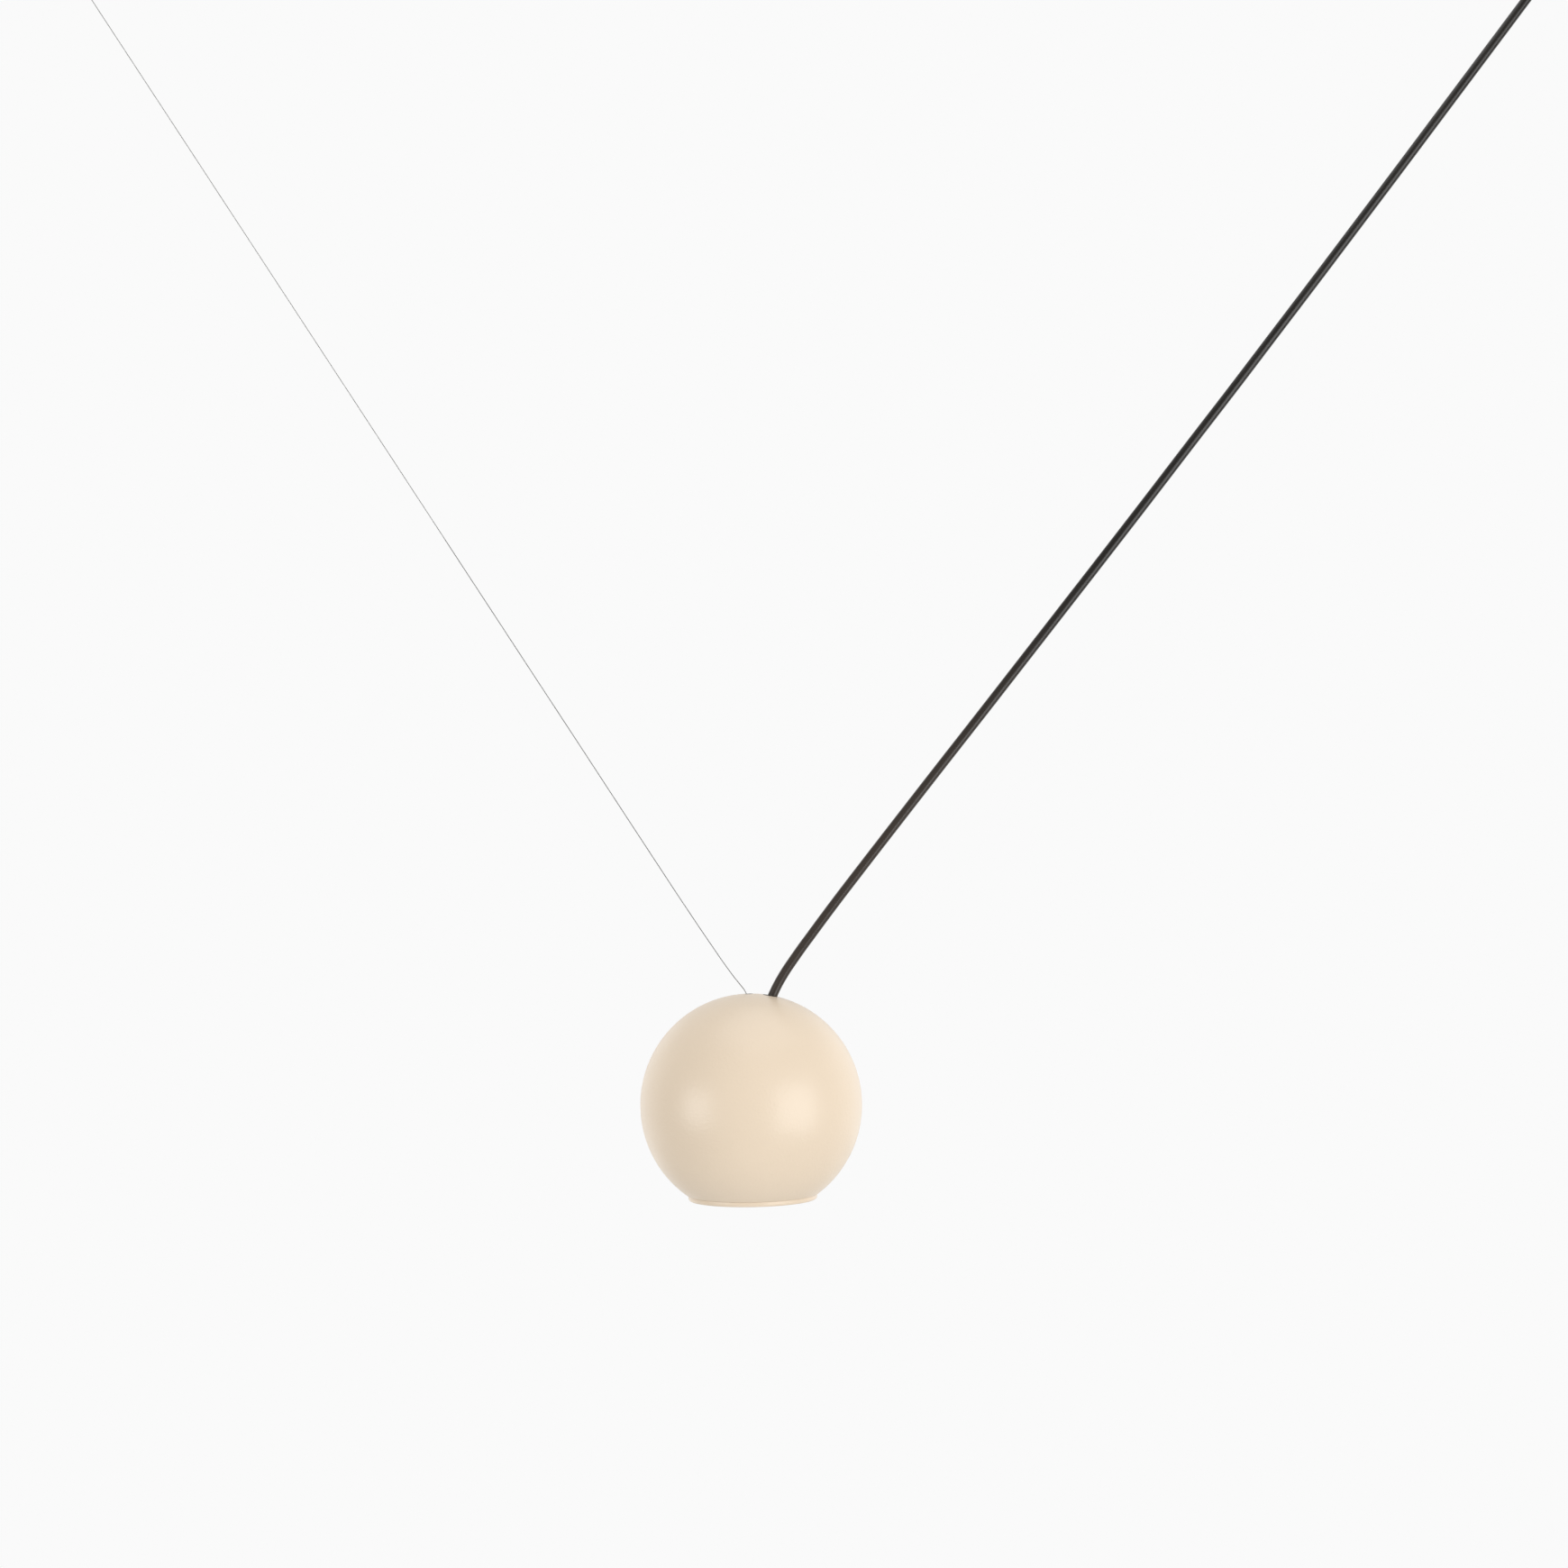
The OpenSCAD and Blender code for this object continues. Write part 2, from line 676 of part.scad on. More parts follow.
module light_ring() {
    bevel = min(1.6, 0.5 * (ring_r - aperture_r));
    color("wheat") in_globe() {
        rotate_extrude() difference() {
            polygon([
                [aperture_r + bevel, ring_bottom],
                [ring_r, ring_bottom],
                [ring_r, ring_top],
                [spigot_ro, ring_top],
                [spigot_ro, spigot_top],
                [spigot_ri, spigot_top],
                [spigot_ri, lip_z],
                [aperture_r, lip_z],
            ]);
            translate([ring_r - ring_round, ring_bottom + ring_round]) difference() {
                translate([0, -ring_round - over]) square(ring_round + over);
                circle(ring_round);
            }
        }
        for (a = [0:120:240])
            rotate(a - lug_angle / 2) rotate_extrude(angle = lug_angle)
                translate([skirt_ri + run, lug_top - lug_h])
                    square([spigot_ri + spigot_wall / 2 - skirt_ri - run, lug_h]);
    }
}

// Opal disc with a step that drops into the ring's aperture
module diffuser() {
    step = lip_t / 2;
    color("white") in_globe() rotate_extrude() polygon([
        [0, lip_z + snug - step], [aperture_r - snug - 0.5, lip_z + snug - step],
        [aperture_r - snug, lip_z + snug - step + 0.5], [aperture_r - snug, lip_z + snug],
        [diffuser_r, lip_z + snug], [diffuser_r, diffuser_top], [0, diffuser_top],
    ]);
}

// Slot for one lug: a level run as long as the turn, and a way in from the skirt's foot
module bayonet_slot() {
    half = lug_angle / 2 + 1;
    reach = [skirt_ri - over, skirt_wall + 2 * over];
    rotate(-ring_turn - half) rotate_extrude(angle = ring_turn + 2 * half)
        translate([reach[0], lug_top - lug_h - run]) square([reach[1], lug_h + 2 * run]);
    rotate(-ring_turn - half) rotate_extrude(angle = 2 * half)
        translate([reach[0], skirt_z - over]) square([reach[1], lug_top - skirt_z + over]);
}

module heat_sink() {
    fin_r = skirt_ro - 0.5;
    first = frame_depth / 2 + 1.5 + fin_t / 2;
    rows = floor((fin_r - first - fin_t) / fin_pitch);
    color("silver") in_globe() difference() {
        union() {
            between(plate_z, plate_top, skirt_ro);
            difference() {
                between(skirt_z, plate_z + plate_t / 2, skirt_ro);
                between(skirt_z - over, plate_z, skirt_ri);
            }
            for (side = [-1, 1], i = [0:rows]) {
                y = first + i * fin_pitch;
                half = sqrt(fin_r * fin_r - (y + fin_t / 2) * (y + fin_t / 2));
                translate([-half, side * y - fin_t / 2, plate_top - 0.5])
                    cube([2 * half, fin_t, fin_h + 0.5]);
            }
        }
        for (a = [0:120:240]) rotate(a) bayonet_slot();
        for (x = [-1, 1]) {
            translate([x * lead_x, 0, 0]) between(plate_z - over, plate_top + over, lead_d / 2 + run);
            translate([x * foot_x, 0, 0]) between(plate_z + 0.4, plate_top + over, small_screw_d / 2 + snug);
        }
    }
}

// Countersunk screw with its flat head level with z = 0
module flat_screw(d, l) {
    translate([0, 0, -l]) cylinder(d = d, h = l);
    translate([0, 0, -d / 2]) cylinder(d1 = d, d2 = 2 * d, h = d / 2);
}

module frame_screws() {
    color("dimgray") in_globe() for (x = [-1, 1])
        translate([x * foot_x, 0, foot_top - snug]) flat_screw(small_screw_d, strip_t + plate_t - 1);
}

// Section of the folded strip: a web, two legs and two feet turned inwards
module strip_outline(w, z0, z1, r) {
    translate([-w / 2, z0]) square([w, z1 - r - z0]);
    translate([-w / 2 + r, z0]) square([w - 2 * r, z1 - z0]);
    for (x = [-1, 1]) translate([x * (w / 2 - r), z1 - r]) circle(r);
}

module inner_frame() {
    opening = frame_gap - 2 * foot_l;
    color("silver") in_globe() difference() {
        union() {
            difference() {
                rotate([90, 0, 0]) linear_extrude(frame_depth, center = true) difference() {
                    strip_outline(frame_w, plate_top, web_top, bend_r);
                    strip_outline(frame_gap, foot_top, web_z, bend_r - strip_t);
                    translate([-opening / 2, plate_top - over]) square([opening, strip_t + 2 * over]);
                }
                between(web_z - over, web_top + over, web_wire_d / 2);
                translate([web_cable_x, 0, 0]) between(web_z - over, web_top + over, web_cable_d / 2);
            }
            translate([clamp_x - tongue_w / 2, -clamp_r - strip_t, tongue_z])
                cube([tongue_w, strip_t, web_z + strip_t / 2 - tongue_z]);
        }
        for (x = [-1, 1]) {
            translate([x * foot_x, 0, foot_top]) {
                flat_screw(small_screw_d + 2 * snug, strip_t + over);
                between(-snug, over, small_screw_d + snug);
            }
            translate([clamp_x + x * clamp_screw_x, 0, tongue_z + saddle_h / 2]) rotate([90, 0, 0])
                cylinder(d = small_screw_d + 2 * snug, h = clamp_r + strip_t + over);
        }
    }
}

module clamp_saddle() {
    color("ivory") in_globe() difference() {
        translate([clamp_x, saddle_y / 2 - 0.2, tongue_z])
            block([tongue_w, saddle_y + 0.4, saddle_h], 1);
        translate([clamp_x, 0, 0]) between(tongue_z - over, tongue_z + saddle_h + over, clamp_r);
        for (x = [-1, 1])
            translate([clamp_x + x * clamp_screw_x, saddle_y + over, tongue_z + saddle_h / 2])
                rotate([90, 0, 0]) cylinder(d = small_screw_d + 2 * snug, h = saddle_y + 2 * over + 1);
    }
}

module clamp_screws() {
    color("dimgray") in_globe() for (x = [-1, 1])
        translate([clamp_x + x * clamp_screw_x, saddle_y + snug, tongue_z + saddle_h / 2])
            rotate([-90, 0, 0]) {
                translate([0, 0, -saddle_y - clamp_r - strip_t])
                    cylinder(d = small_screw_d, h = saddle_y + clamp_r + strip_t + 0.5);
                cylinder(d1 = 1.7 * small_screw_d, d2 = 1.4 * small_screw_d, h = 0.6 * small_screw_d);
            }
}

module led_driver() {
    color("whitesmoke") in_globe() translate([0, 0, foot_top])
        block([frame_gap - 2 * snug, driver_depth, driver_h], 2);
}

module terminal_block() {
    size = [2 * block_half, 14, block_h];
    color("ivory") in_globe() translate([clamp_x, 0, block_top]) difference() {
        translate([0, 0, -block_h]) block(size, 1);
        for (k = [-1:1]) {
            translate([k * core_pitch, 0, -block_h / 2]) cylinder(d = core_d + 2 * snug, h = block_h);
            translate([k * core_pitch, size[1] / 2 + over, -block_h / 2]) rotate([90, 0, 0])
                cylinder(d = 2.6, h = 4 + over);
        }
    }
}

// The cable's three cores, fanned out from the end of its sheath into the terminals
module cable_cores() {
    color("peru") in_globe() for (k = [-1:1]) {
        low = [clamp_x + k * core_pitch, 0, block_top + core_rise];
        rod([clamp_x + k * core_d * 1.15, 0, sheath_z - 0.2], low, core_d);
        translate(low) sphere(d = core_d * 1.02, $fn = 32);
        rod(low - [0, 0, block_h / 2 + core_rise - snug], low, core_d);
    }
}

module driver_leads() {
    color("firebrick") in_globe() for (x = [-1, 1])
        translate([x * lead_x, 0, 0]) between(plate_z, foot_top, lead_d / 2);
}

module led_board() {
    color("white") in_globe() difference() {
        between(board_z, plate_z, board_d / 2);
        for (y = [-1, 1])
            translate([0, y * (board_d / 2 - 2.4), 0]) between(board_z - over, plate_z + over, 1.3);
    }
}

module led_chip() { color("gold") in_globe() between(chip_z, board_z, chip_d / 2); }

module reflector() {
    neck_r = chip_d / 2 + 1;
    rim_r = skirt_ri - run - reflector_wall;
    color("whitesmoke") in_globe() rotate_extrude() polygon([
        [neck_r, board_z], [neck_r + reflector_wall, board_z],
        [rim_r + reflector_wall, skirt_z + 1.5], [rim_r + reflector_wall, skirt_z], [rim_r, skirt_z],
    ]);
}

canopy_bracket();
canopy_clips();
canopy_cover();
canopy_screws();
canopy_terminal_block();
swivel_socket();
swivel_ring();
swivel_ball();
cable_strain_relief();
anchor_base();
anchor_cap();
gripper_head();
gripper_sleeve();
gripper_plunger();
gripper_balls();
gripper_spring();
power_cable();
suspension_wire();
wire_ferrule();
globe_upper();
globe_lower();
inner_frame();
clamp_saddle();
clamp_screws();
terminal_block();
cable_cores();
led_driver();
driver_leads();
heat_sink();
frame_screws();
led_board();
led_chip();
reflector();
light_ring();
diffuser();
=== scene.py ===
import json
import math

import bpy
from mathutils import Matrix, Vector


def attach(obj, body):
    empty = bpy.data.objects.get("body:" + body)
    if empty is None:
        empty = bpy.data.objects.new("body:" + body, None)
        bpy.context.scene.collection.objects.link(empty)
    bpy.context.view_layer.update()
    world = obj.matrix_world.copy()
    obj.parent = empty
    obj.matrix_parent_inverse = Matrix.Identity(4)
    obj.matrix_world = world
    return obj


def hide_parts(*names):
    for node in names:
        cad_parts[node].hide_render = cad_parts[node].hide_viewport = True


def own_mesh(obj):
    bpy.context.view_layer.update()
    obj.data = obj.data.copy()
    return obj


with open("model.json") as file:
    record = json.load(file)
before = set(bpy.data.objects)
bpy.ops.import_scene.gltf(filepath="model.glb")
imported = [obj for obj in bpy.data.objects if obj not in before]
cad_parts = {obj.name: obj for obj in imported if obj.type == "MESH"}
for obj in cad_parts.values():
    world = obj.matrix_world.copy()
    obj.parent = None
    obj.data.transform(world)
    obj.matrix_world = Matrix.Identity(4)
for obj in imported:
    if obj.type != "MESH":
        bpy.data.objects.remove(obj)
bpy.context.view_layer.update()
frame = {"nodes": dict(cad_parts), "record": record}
mm = 0.001
print("frame loaded with", len(frame["nodes"]), "nodes")

# where the groups hang, in metres, as in the frame; a lean follows the last stretch of its cord
layout = {
    "globe": (-0.515, 0, -0.754), "globeTilt": -1.0,  # the top leans towards the wire
    "cableBall": (0, 0, -0.022), "cableLean": math.degrees(math.atan2(10.2, 13.65)),
    "wireBall": (-0.954, 0, -0.022), "wireLean": math.degrees(math.atan2(-4.9, 7.5)),
    "anchor": (-0.954, 0, 0),
}


def leaning(point, degrees):
    return Matrix.Translation(point) @ Matrix.Rotation(math.radians(degrees), 4, "Y")


onCeiling = Matrix.Identity(4)
onAnchor = Matrix.Translation(layout["anchor"])
onSocket = Matrix.Translation(layout["cableBall"])
onGlobe = leaning(layout["globe"], layout["globeTilt"])
onCable = leaning(layout["cableBall"], layout["cableLean"])
onWire = leaning(layout["wireBall"], layout["wireLean"])

# camera, level with the view in the photograph
camera = {"place": (-0.4943, -2.09, -0.5516), "turn": (90, 0, 0), "lens": 76, "sensor": 36, "near": 0.02}
bpy.ops.object.camera_add(location=camera["place"], rotation=[math.radians(a) for a in camera["turn"]])
viewpoint = bpy.context.object
viewpoint.data.lens = camera["lens"]
viewpoint.data.sensor_width = camera["sensor"]
viewpoint.data.clip_start = camera["near"]
bpy.context.scene.camera = viewpoint
print("camera placed")


# shader maths: a socket that can be added, multiplied and so on
class Flow:
    def __init__(self, nodes, socket):
        self.nodes = nodes
        self.socket = socket

    def math(self, operation, *others):
        return self.nodes.make("Math", {"operation": operation}, dict(enumerate((self, *others))))

    def __add__(self, other):
        return self.math("ADD", other)

    def __sub__(self, other):
        return self.math("SUBTRACT", other)

    def __mul__(self, other):
        return self.math("MULTIPLY", other)

    def __rsub__(self, other):
        return self.nodes.make("Math", {"operation": "SUBTRACT"}, {0: other, 1: self})

    __radd__ = __add__
    __rmul__ = __mul__


class Nodes:
    def __init__(self, tree):
        self.tree = tree

    # any node: its type, its settings, then the values or links of its sockets
    def make(self, kind, settings=None, sockets=None, output=0):
        node = self.tree.nodes.new("ShaderNode" + kind)
        for key, value in (settings or {}).items():
            if key == "stops":
                ramp = node.color_ramp
                while len(ramp.elements) < len(value):
                    ramp.elements.new(0.5)
                for element, (place, colour) in zip(ramp.elements, value):
                    element.position = place
                    element.color = (*colour, 1)
            elif key == "steps":
                node.color_ramp.interpolation = value
            else:
                setattr(node, key, value)
        for key, value in (sockets or {}).items():
            if isinstance(value, Flow):
                self.tree.links.new(value.socket, node.inputs[key])
            else:
                node.inputs[key].default_value = value
        return Flow(self, node.outputs[output])

    # from one colour to another, each written out or a flow; a colour Mix has them at sockets 6 and 7
    def blend(self, factor, low, high):
        low, high = [c if isinstance(c, Flow) else (*c, 1) for c in (low, high)]
        return self.make("Mix", {"data_type": "RGBA"}, {"Factor": factor, 6: low, 7: high}, output=2)


class Finish(Nodes):
    def __init__(self, name, **fixed):
        self.material = bpy.data.materials.new(name)
        self.material.use_nodes = True
        super().__init__(self.material.node_tree)
        self.shader = self.tree.nodes["Principled BSDF"]
        for socket, value in fixed.items():
            self.shader.inputs[socket.replace("_", " ")].default_value = value

    def coords(self, place=None):
        point = self.make("TexCoord", output="Object")
        if place is None:
            return point
        sockets = {"Vector": point, "Location": place.translation, "Rotation": place.to_euler()}
        return self.make("Mapping", {"vector_type": "TEXTURE"}, sockets)

    def noise(self, point, scale, detail=2.0, rough=0.5):
        sockets = {"Vector": point, "Scale": scale, "Detail": detail, "Roughness": rough}
        return self.make("TexNoise", {}, sockets)

    def feed(self, socket, flow):
        self.tree.links.new(flow.socket, self.shader.inputs[socket])

    def bump(self, height, depth):
        self.feed("Normal", self.make("Bump", {}, {"Height": height, "Distance": depth, "Strength": 1.0}))


def shaded(colour, amount):
    return tuple(min(1.0, max(0.0, c * amount)) for c in colour)


# powder coat: an even colour, a faint cloud in it and the fine orange peel of the baked powder
powder = {"colour": (0.735, 0.61, 0.468), "cloud": 9.0, "cloudTone": 0.015,
          "peel": 600.0, "peelDepth": 0.00012, "gloss": 0.34, "glossTone": 0.03,
          "holeShade": (0.035, 0.03, 0.026), "holeShadeDulls": 0.3}


# inside, where it is given, is the shell's frame, with the depth and height past which painted shade darkens
# the coat
def powderCoat(name, inside=None, skin=0, floor=0):
    coat = Finish(name, IOR=1.5)
    point = coat.coords()
    cloud = coat.noise(point, powder["cloud"], detail=3)
    peel = coat.noise(point, powder["peel"], detail=1.0, rough=0.4)
    colour = coat.blend(cloud, shaded(powder["colour"], 1 - powder["cloudTone"]),
                        shaded(powder["colour"], 1 + powder["cloudTone"]))
    gloss = powder["gloss"] - powder["glossTone"] + 2 * powder["glossTone"] * peel
    if inside:
        local = coat.coords(inside)
        depth = coat.make("VectorMath", {"operation": "LENGTH"}, {0: local}, output="Value")
        height = coat.make("SeparateXYZ", {}, {0: local}, output="Z")
        # painted shade: inside the shell and on the walls of its holes the coat turns near-black and duller,
        # standing in for the shade seen in there
        holeShade = depth.math("LESS_THAN", skin) * height.math("GREATER_THAN", floor)
        colour = coat.blend(holeShade, colour, powder["holeShade"])
        gloss = gloss + powder["holeShadeDulls"] * holeShade
    coat.feed("Base Color", colour)
    coat.feed("Roughness", gloss)
    coat.bump(peel, powder["peelDepth"])
    return coat.material


# black flex: extruded sheath with a faint drawn grain and dull patches, and painted bounce light from the
# globe: greyer and browner down by it
flex = {"colour": (0.008, 0.0065, 0.005), "worn": (0.014, 0.0118, 0.0096), "globeBounce": (0.036, 0.027, 0.021),
        "bounceFrom": -0.4, "bounceTo": -0.6, "patch": 40.0, "grain": 1500.0, "grainDepth": 0.00003,
        "gloss": 0.25, "patchDulls": 0.12}


def blackSheath(name):
    sheath = Finish(name, Specular_IOR_Level=0.42)
    point = sheath.coords()
    patch = sheath.noise(point, flex["patch"], detail=3)
    grain = sheath.noise(point, flex["grain"])
    height = sheath.make("SeparateXYZ", {}, {0: point}, output="Z")
    # painted bounce light: from this height down towards the globe the sheath's colour turns greyer and
    # browner
    bounceShare = sheath.make("MapRange", {"interpolation_type": "SMOOTHSTEP"},
                       {"Value": height, "From Min": flex["bounceFrom"], "From Max": flex["bounceTo"]})
    black = sheath.blend(patch, flex["colour"], flex["worn"])
    sheath.feed("Base Color", sheath.blend(bounceShare, black, flex["globeBounce"]))
    sheath.feed("Roughness", flex["gloss"] + flex["patchDulls"] * patch)
    sheath.bump(grain, flex["grainDepth"])
    return sheath.material


# plated or bare metal: drawn or spun grain, with a little change in tone
plating = {"patch": 90.0, "tone": 0.07, "grainDulls": 0.1, "patchDulls": 0.06}


def metal(name, colour, gloss, grain, depth=0.00001):
    plate = Finish(name, Metallic=1.0)
    point = plate.coords()
    patch = plate.noise(point, plating["patch"], detail=4, rough=0.6)
    fine = plate.noise(point, grain)
    plate.feed("Base Color", plate.blend(patch, shaded(colour, 1 - plating["tone"]),
                                         shaded(colour, 1 + plating["tone"])))
    plate.feed("Roughness", gloss - plating["grainDulls"] / 2 + plating["grainDulls"] * fine
               + plating["patchDulls"] * patch)
    plate.bump(fine, depth)
    return plate.material


# zinc plate: pale flakes of slightly different tone
flakes = {"scale": 350.0, "dark": (0.5, 0.51, 0.53), "pale": (0.64, 0.65, 0.66),
          "gloss": 0.3, "toneDulls": 0.14, "grain": 2500.0, "grainDepth": 0.00001}


def zinc():
    plate = Finish("zincPlate", Metallic=1.0)
    point = plate.coords()
    flake = plate.make("TexVoronoi", {}, {"Vector": point, "Scale": flakes["scale"]}, output="Color")
    tone = plate.make("SeparateColor", {}, {0: flake})
    fine = plate.noise(point, flakes["grain"])
    plate.feed("Base Color", plate.blend(tone, flakes["dark"], flakes["pale"]))
    plate.feed("Roughness", flakes["gloss"] + flakes["toneDulls"] * tone)
    plate.bump(fine, flakes["grainDepth"])
    return plate.material


# moulded plastic: fine spark texture and a faint cloud
moulding = {"cloud": 60.0, "cloudTone": 0.03, "sparkShines": 0.04, "sparkDulls": 0.1}


def moulded(name, colour, gloss, spark=2200.0, depth=0.00003):
    shell = Finish(name)
    point = shell.coords()
    cloud = shell.noise(point, moulding["cloud"], detail=3)
    fine = shell.noise(point, spark)
    shell.feed("Base Color", shell.blend(cloud, shaded(colour, 1 - moulding["cloudTone"]),
                                         shaded(colour, 1 + moulding["cloudTone"])))
    shell.feed("Roughness", gloss - moulding["sparkShines"] + moulding["sparkDulls"] * fine)
    shell.bump(fine, depth)
    return shell.material


# core insulation: live, earth and neutral by their place across the cable, in millimetres
cores = {"from": 3.0, "across": 16.0, "grain": 1800.0, "grainDepth": 0.00002,
         "gloss": 0.35, "grainDulls": 0.12,
         "stops": [(0.0, (0.2, 0.08, 0.03)), (0.4, (0.55, 0.5, 0.05)), (0.6, (0.03, 0.09, 0.4))]}


def coreInsulation():
    core = Finish("coreInsulation")
    side = core.make("SeparateXYZ", {}, {0: core.coords(onGlobe)}, output="X")
    place = (side * (1 / mm) - cores["from"]) * (1 / cores["across"])
    colour = core.make("ValToRGB", {"stops": cores["stops"], "steps": "CONSTANT"}, {0: place})
    fine = core.noise(core.coords(), cores["grain"])
    core.feed("Base Color", colour)
    core.feed("Roughness", cores["gloss"] + cores["grainDulls"] * fine)
    core.bump(fine, cores["grainDepth"])
    return core.material


# one finish for each of the record's slots
finishes = {
    "beige_paint": powderCoat("beigePowderCoat"),
    "black_rubber": blackSheath("blackFlex"),
    "steel_wire": metal("drawnSteelWire", (0.30, 0.30, 0.295), gloss=0.34, grain=3000.0),
    "nickel_steel": metal("satinNickel", (0.57, 0.55, 0.52), gloss=0.4, grain=2600.0),
    "zinc_steel": zinc(),
    "brass": metal("turnedBrass", (0.78, 0.57, 0.25), gloss=0.26, grain=2600.0),
    "aluminium": metal("castAluminium", (0.74, 0.75, 0.76), gloss=0.46, grain=900.0, depth=0.00008),
    "white_plastic": moulded("whitePlastic", (0.78, 0.77, 0.73), gloss=0.45),
    "core_insulation": coreInsulation(),
    "board_white": moulded("whiteBoard", (0.82, 0.82, 0.8), gloss=0.4, spark=900.0),
    "light_source": moulded("phosphor", (0.84, 0.66, 0.14), gloss=0.3, spark=3200.0),
    "reflector_white": moulded("glossReflector", (0.86, 0.86, 0.84), gloss=0.2, spark=900.0),
    "opal": moulded("opalDiffuser", (0.86, 0.85, 0.82), gloss=0.34, spark=1600.0, depth=0.00004),
}
print("finishes made:", len(finishes))

for part in frame["record"]["subparts"]:
    for slot in frame["nodes"][part["node"]].material_slots:
        slot.material = finishes[part["material_slot"]]

# modelling: the usual roundings of edges, and the distance within which two points are one, in millimetres
edge = {"fine": 0.2, "small": 0.3, "soft": 0.4}
weld = 0.002
crease = 32  # degrees from which an edge stays sharp


def clearSelection():
    if bpy.context.object and bpy.context.object.mode != "OBJECT":
        bpy.ops.object.mode_set(mode="OBJECT")
    bpy.ops.object.select_all(action="DESELECT")


def pick(piece):
    clearSelection()
    piece.select_set(True)
    bpy.context.view_layer.objects.active = piece


# joins points that meet, drops faces without area and turns every face outwards
def cleanMesh(piece):
    pick(piece)
    bpy.ops.object.mode_set(mode="EDIT")
    bpy.ops.mesh.select_all(action="SELECT")
    bpy.ops.mesh.remove_doubles(threshold=weld * mm)
    bpy.ops.mesh.dissolve_degenerate(threshold=weld * mm)
    bpy.ops.mesh.normals_make_consistent(inside=False)
    bpy.ops.object.mode_set(mode="OBJECT")


def smooth(angle=crease):
    bpy.ops.object.shade_smooth_by_angle(angle=math.radians(angle))


# puts a piece modelled at the origin in its place, with the place in its mesh
def settle(piece, place, angle=crease):
    piece.matrix_world = place
    pick(piece)
    bpy.ops.object.transform_apply(location=True, rotation=True, scale=True)
    smooth(angle)


def finishPiece(piece, body, slot, *nodes, material=None):
    piece.data.materials.clear()
    piece.data.materials.append(material or finishes[slot])
    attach(piece, body)
    if nodes:
        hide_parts(*nodes)


# rounds the corners of a closed profile: each corner is (r, z) or (r, z, radius)
def eased(corners, steps=5):
    points = []
    share = 2.01  # a rounding takes less than half of an edge
    for k, corner in enumerate(corners):
        here = Vector(corner[:2])
        if len(corner) < 3:
            points.append(tuple(here))
            continue
        back = Vector(corners[k - 1][:2]) - here
        on = Vector(corners[(k + 1) % len(corners)][:2]) - here
        half = back.angle(on) / 2
        reach = min(corner[2] / math.tan(half), back.length / share, on.length / share)
        radius = reach * math.tan(half)
        middle = here + (back.normalized() + on.normalized()).normalized() * radius / math.sin(half)
        start = here + back.normalized() * reach - middle
        end = here + on.normalized() * reach - middle
        sweep = start.angle_signed(end)
        for step in range(steps + 1):
            turn = -sweep * step / steps
            points.append((middle.x + start.x * math.cos(turn) - start.y * math.sin(turn),
                           middle.y + start.x * math.sin(turn) + start.y * math.cos(turn)))
    return points


# points on a circle round the axis, from one polar angle to another
def arc(radius, start, end, steps):
    turns = [math.radians(start + (end - start) * k / steps) for k in range(steps + 1)]
    return [(radius * math.sin(a), radius * math.cos(a)) for a in turns]


# the polar angle of the point on such a circle at height z, or at r from the axis
def polar(radius, z=None, r=None):
    return math.degrees(math.acos(z / radius) if r is None else math.asin(r / radius))


# a turned piece: its half section is extruded point by point, then spun
def turned(name, profile, place, sides):
    clearSelection()
    bpy.ops.mesh.primitive_plane_add(size=mm)
    piece = bpy.context.object
    piece.name = name
    bpy.ops.object.mode_set(mode="EDIT")
    bpy.ops.mesh.select_all(action="SELECT")
    bpy.ops.mesh.merge(type="CENTER")
    bpy.ops.transform.translate(value=(profile[0][0] * mm, 0, profile[0][1] * mm))
    for (r0, z0), (r1, z1) in zip(profile, profile[1:] + profile[:1]):
        move = ((r1 - r0) * mm, 0, (z1 - z0) * mm)
        bpy.ops.mesh.extrude_region_move(TRANSFORM_OT_translate={"value": move})
    bpy.ops.mesh.select_all(action="SELECT")
    bpy.ops.mesh.spin(steps=sides, angle=2 * math.pi, center=(0, 0, 0), axis=(0, 0, 1))
    cleanMesh(piece)
    settle(piece, place)
    return piece


# selects, in edit mode, the faces whose middle passes a test, in millimetres in the frame of place
def pickFaces(piece, place, wanted):
    pick(piece)
    bpy.ops.object.mode_set(mode="EDIT")
    bpy.ops.mesh.select_mode(type="FACE")
    bpy.ops.mesh.select_all(action="DESELECT")
    bpy.ops.object.mode_set(mode="OBJECT")
    back = place.inverted()
    for face in piece.data.polygons:
        face.select = wanted(back @ face.center / mm)
    bpy.ops.object.mode_set(mode="EDIT")


def leaveFaces():
    bpy.ops.mesh.select_mode(type="VERT")
    bpy.ops.object.mode_set(mode="OBJECT")


# a sunk band in the side of a turned piece, in rows for its knurl
def gripRows(radius, grip):
    step = (grip["low"] - grip["high"]) / grip["rows"]
    sunk = [(radius - grip["depth"], grip["high"] + step * k) for k in range(grip["rows"] + 1)]
    return [(radius, grip["high"] + grip["depth"]), *sunk, (radius, grip["low"] - grip["depth"])]


# raises a small pyramid on each face of such a band, back up to the side
def knurl(piece, place, radius, grip):
    sunk = radius - grip["depth"]

    def inBand(middle):
        return grip["low"] < middle.z < grip["high"] and abs(middle.xy.length - sunk) < grip["depth"] / 2

    pickFaces(piece, place, inBand)
    bpy.ops.mesh.poke(offset=grip["depth"] * mm)
    leaveFaces()
    smooth(grip["crisp"])


# takes a tool's shape out of a piece
def cutAway(piece, tool):
    pick(piece)
    bite = piece.modifiers.new("bite", "BOOLEAN")
    bite.solver = "EXACT"
    bite.object = tool
    bpy.ops.object.modifier_apply(modifier=bite.name)
    bpy.data.objects.remove(tool)


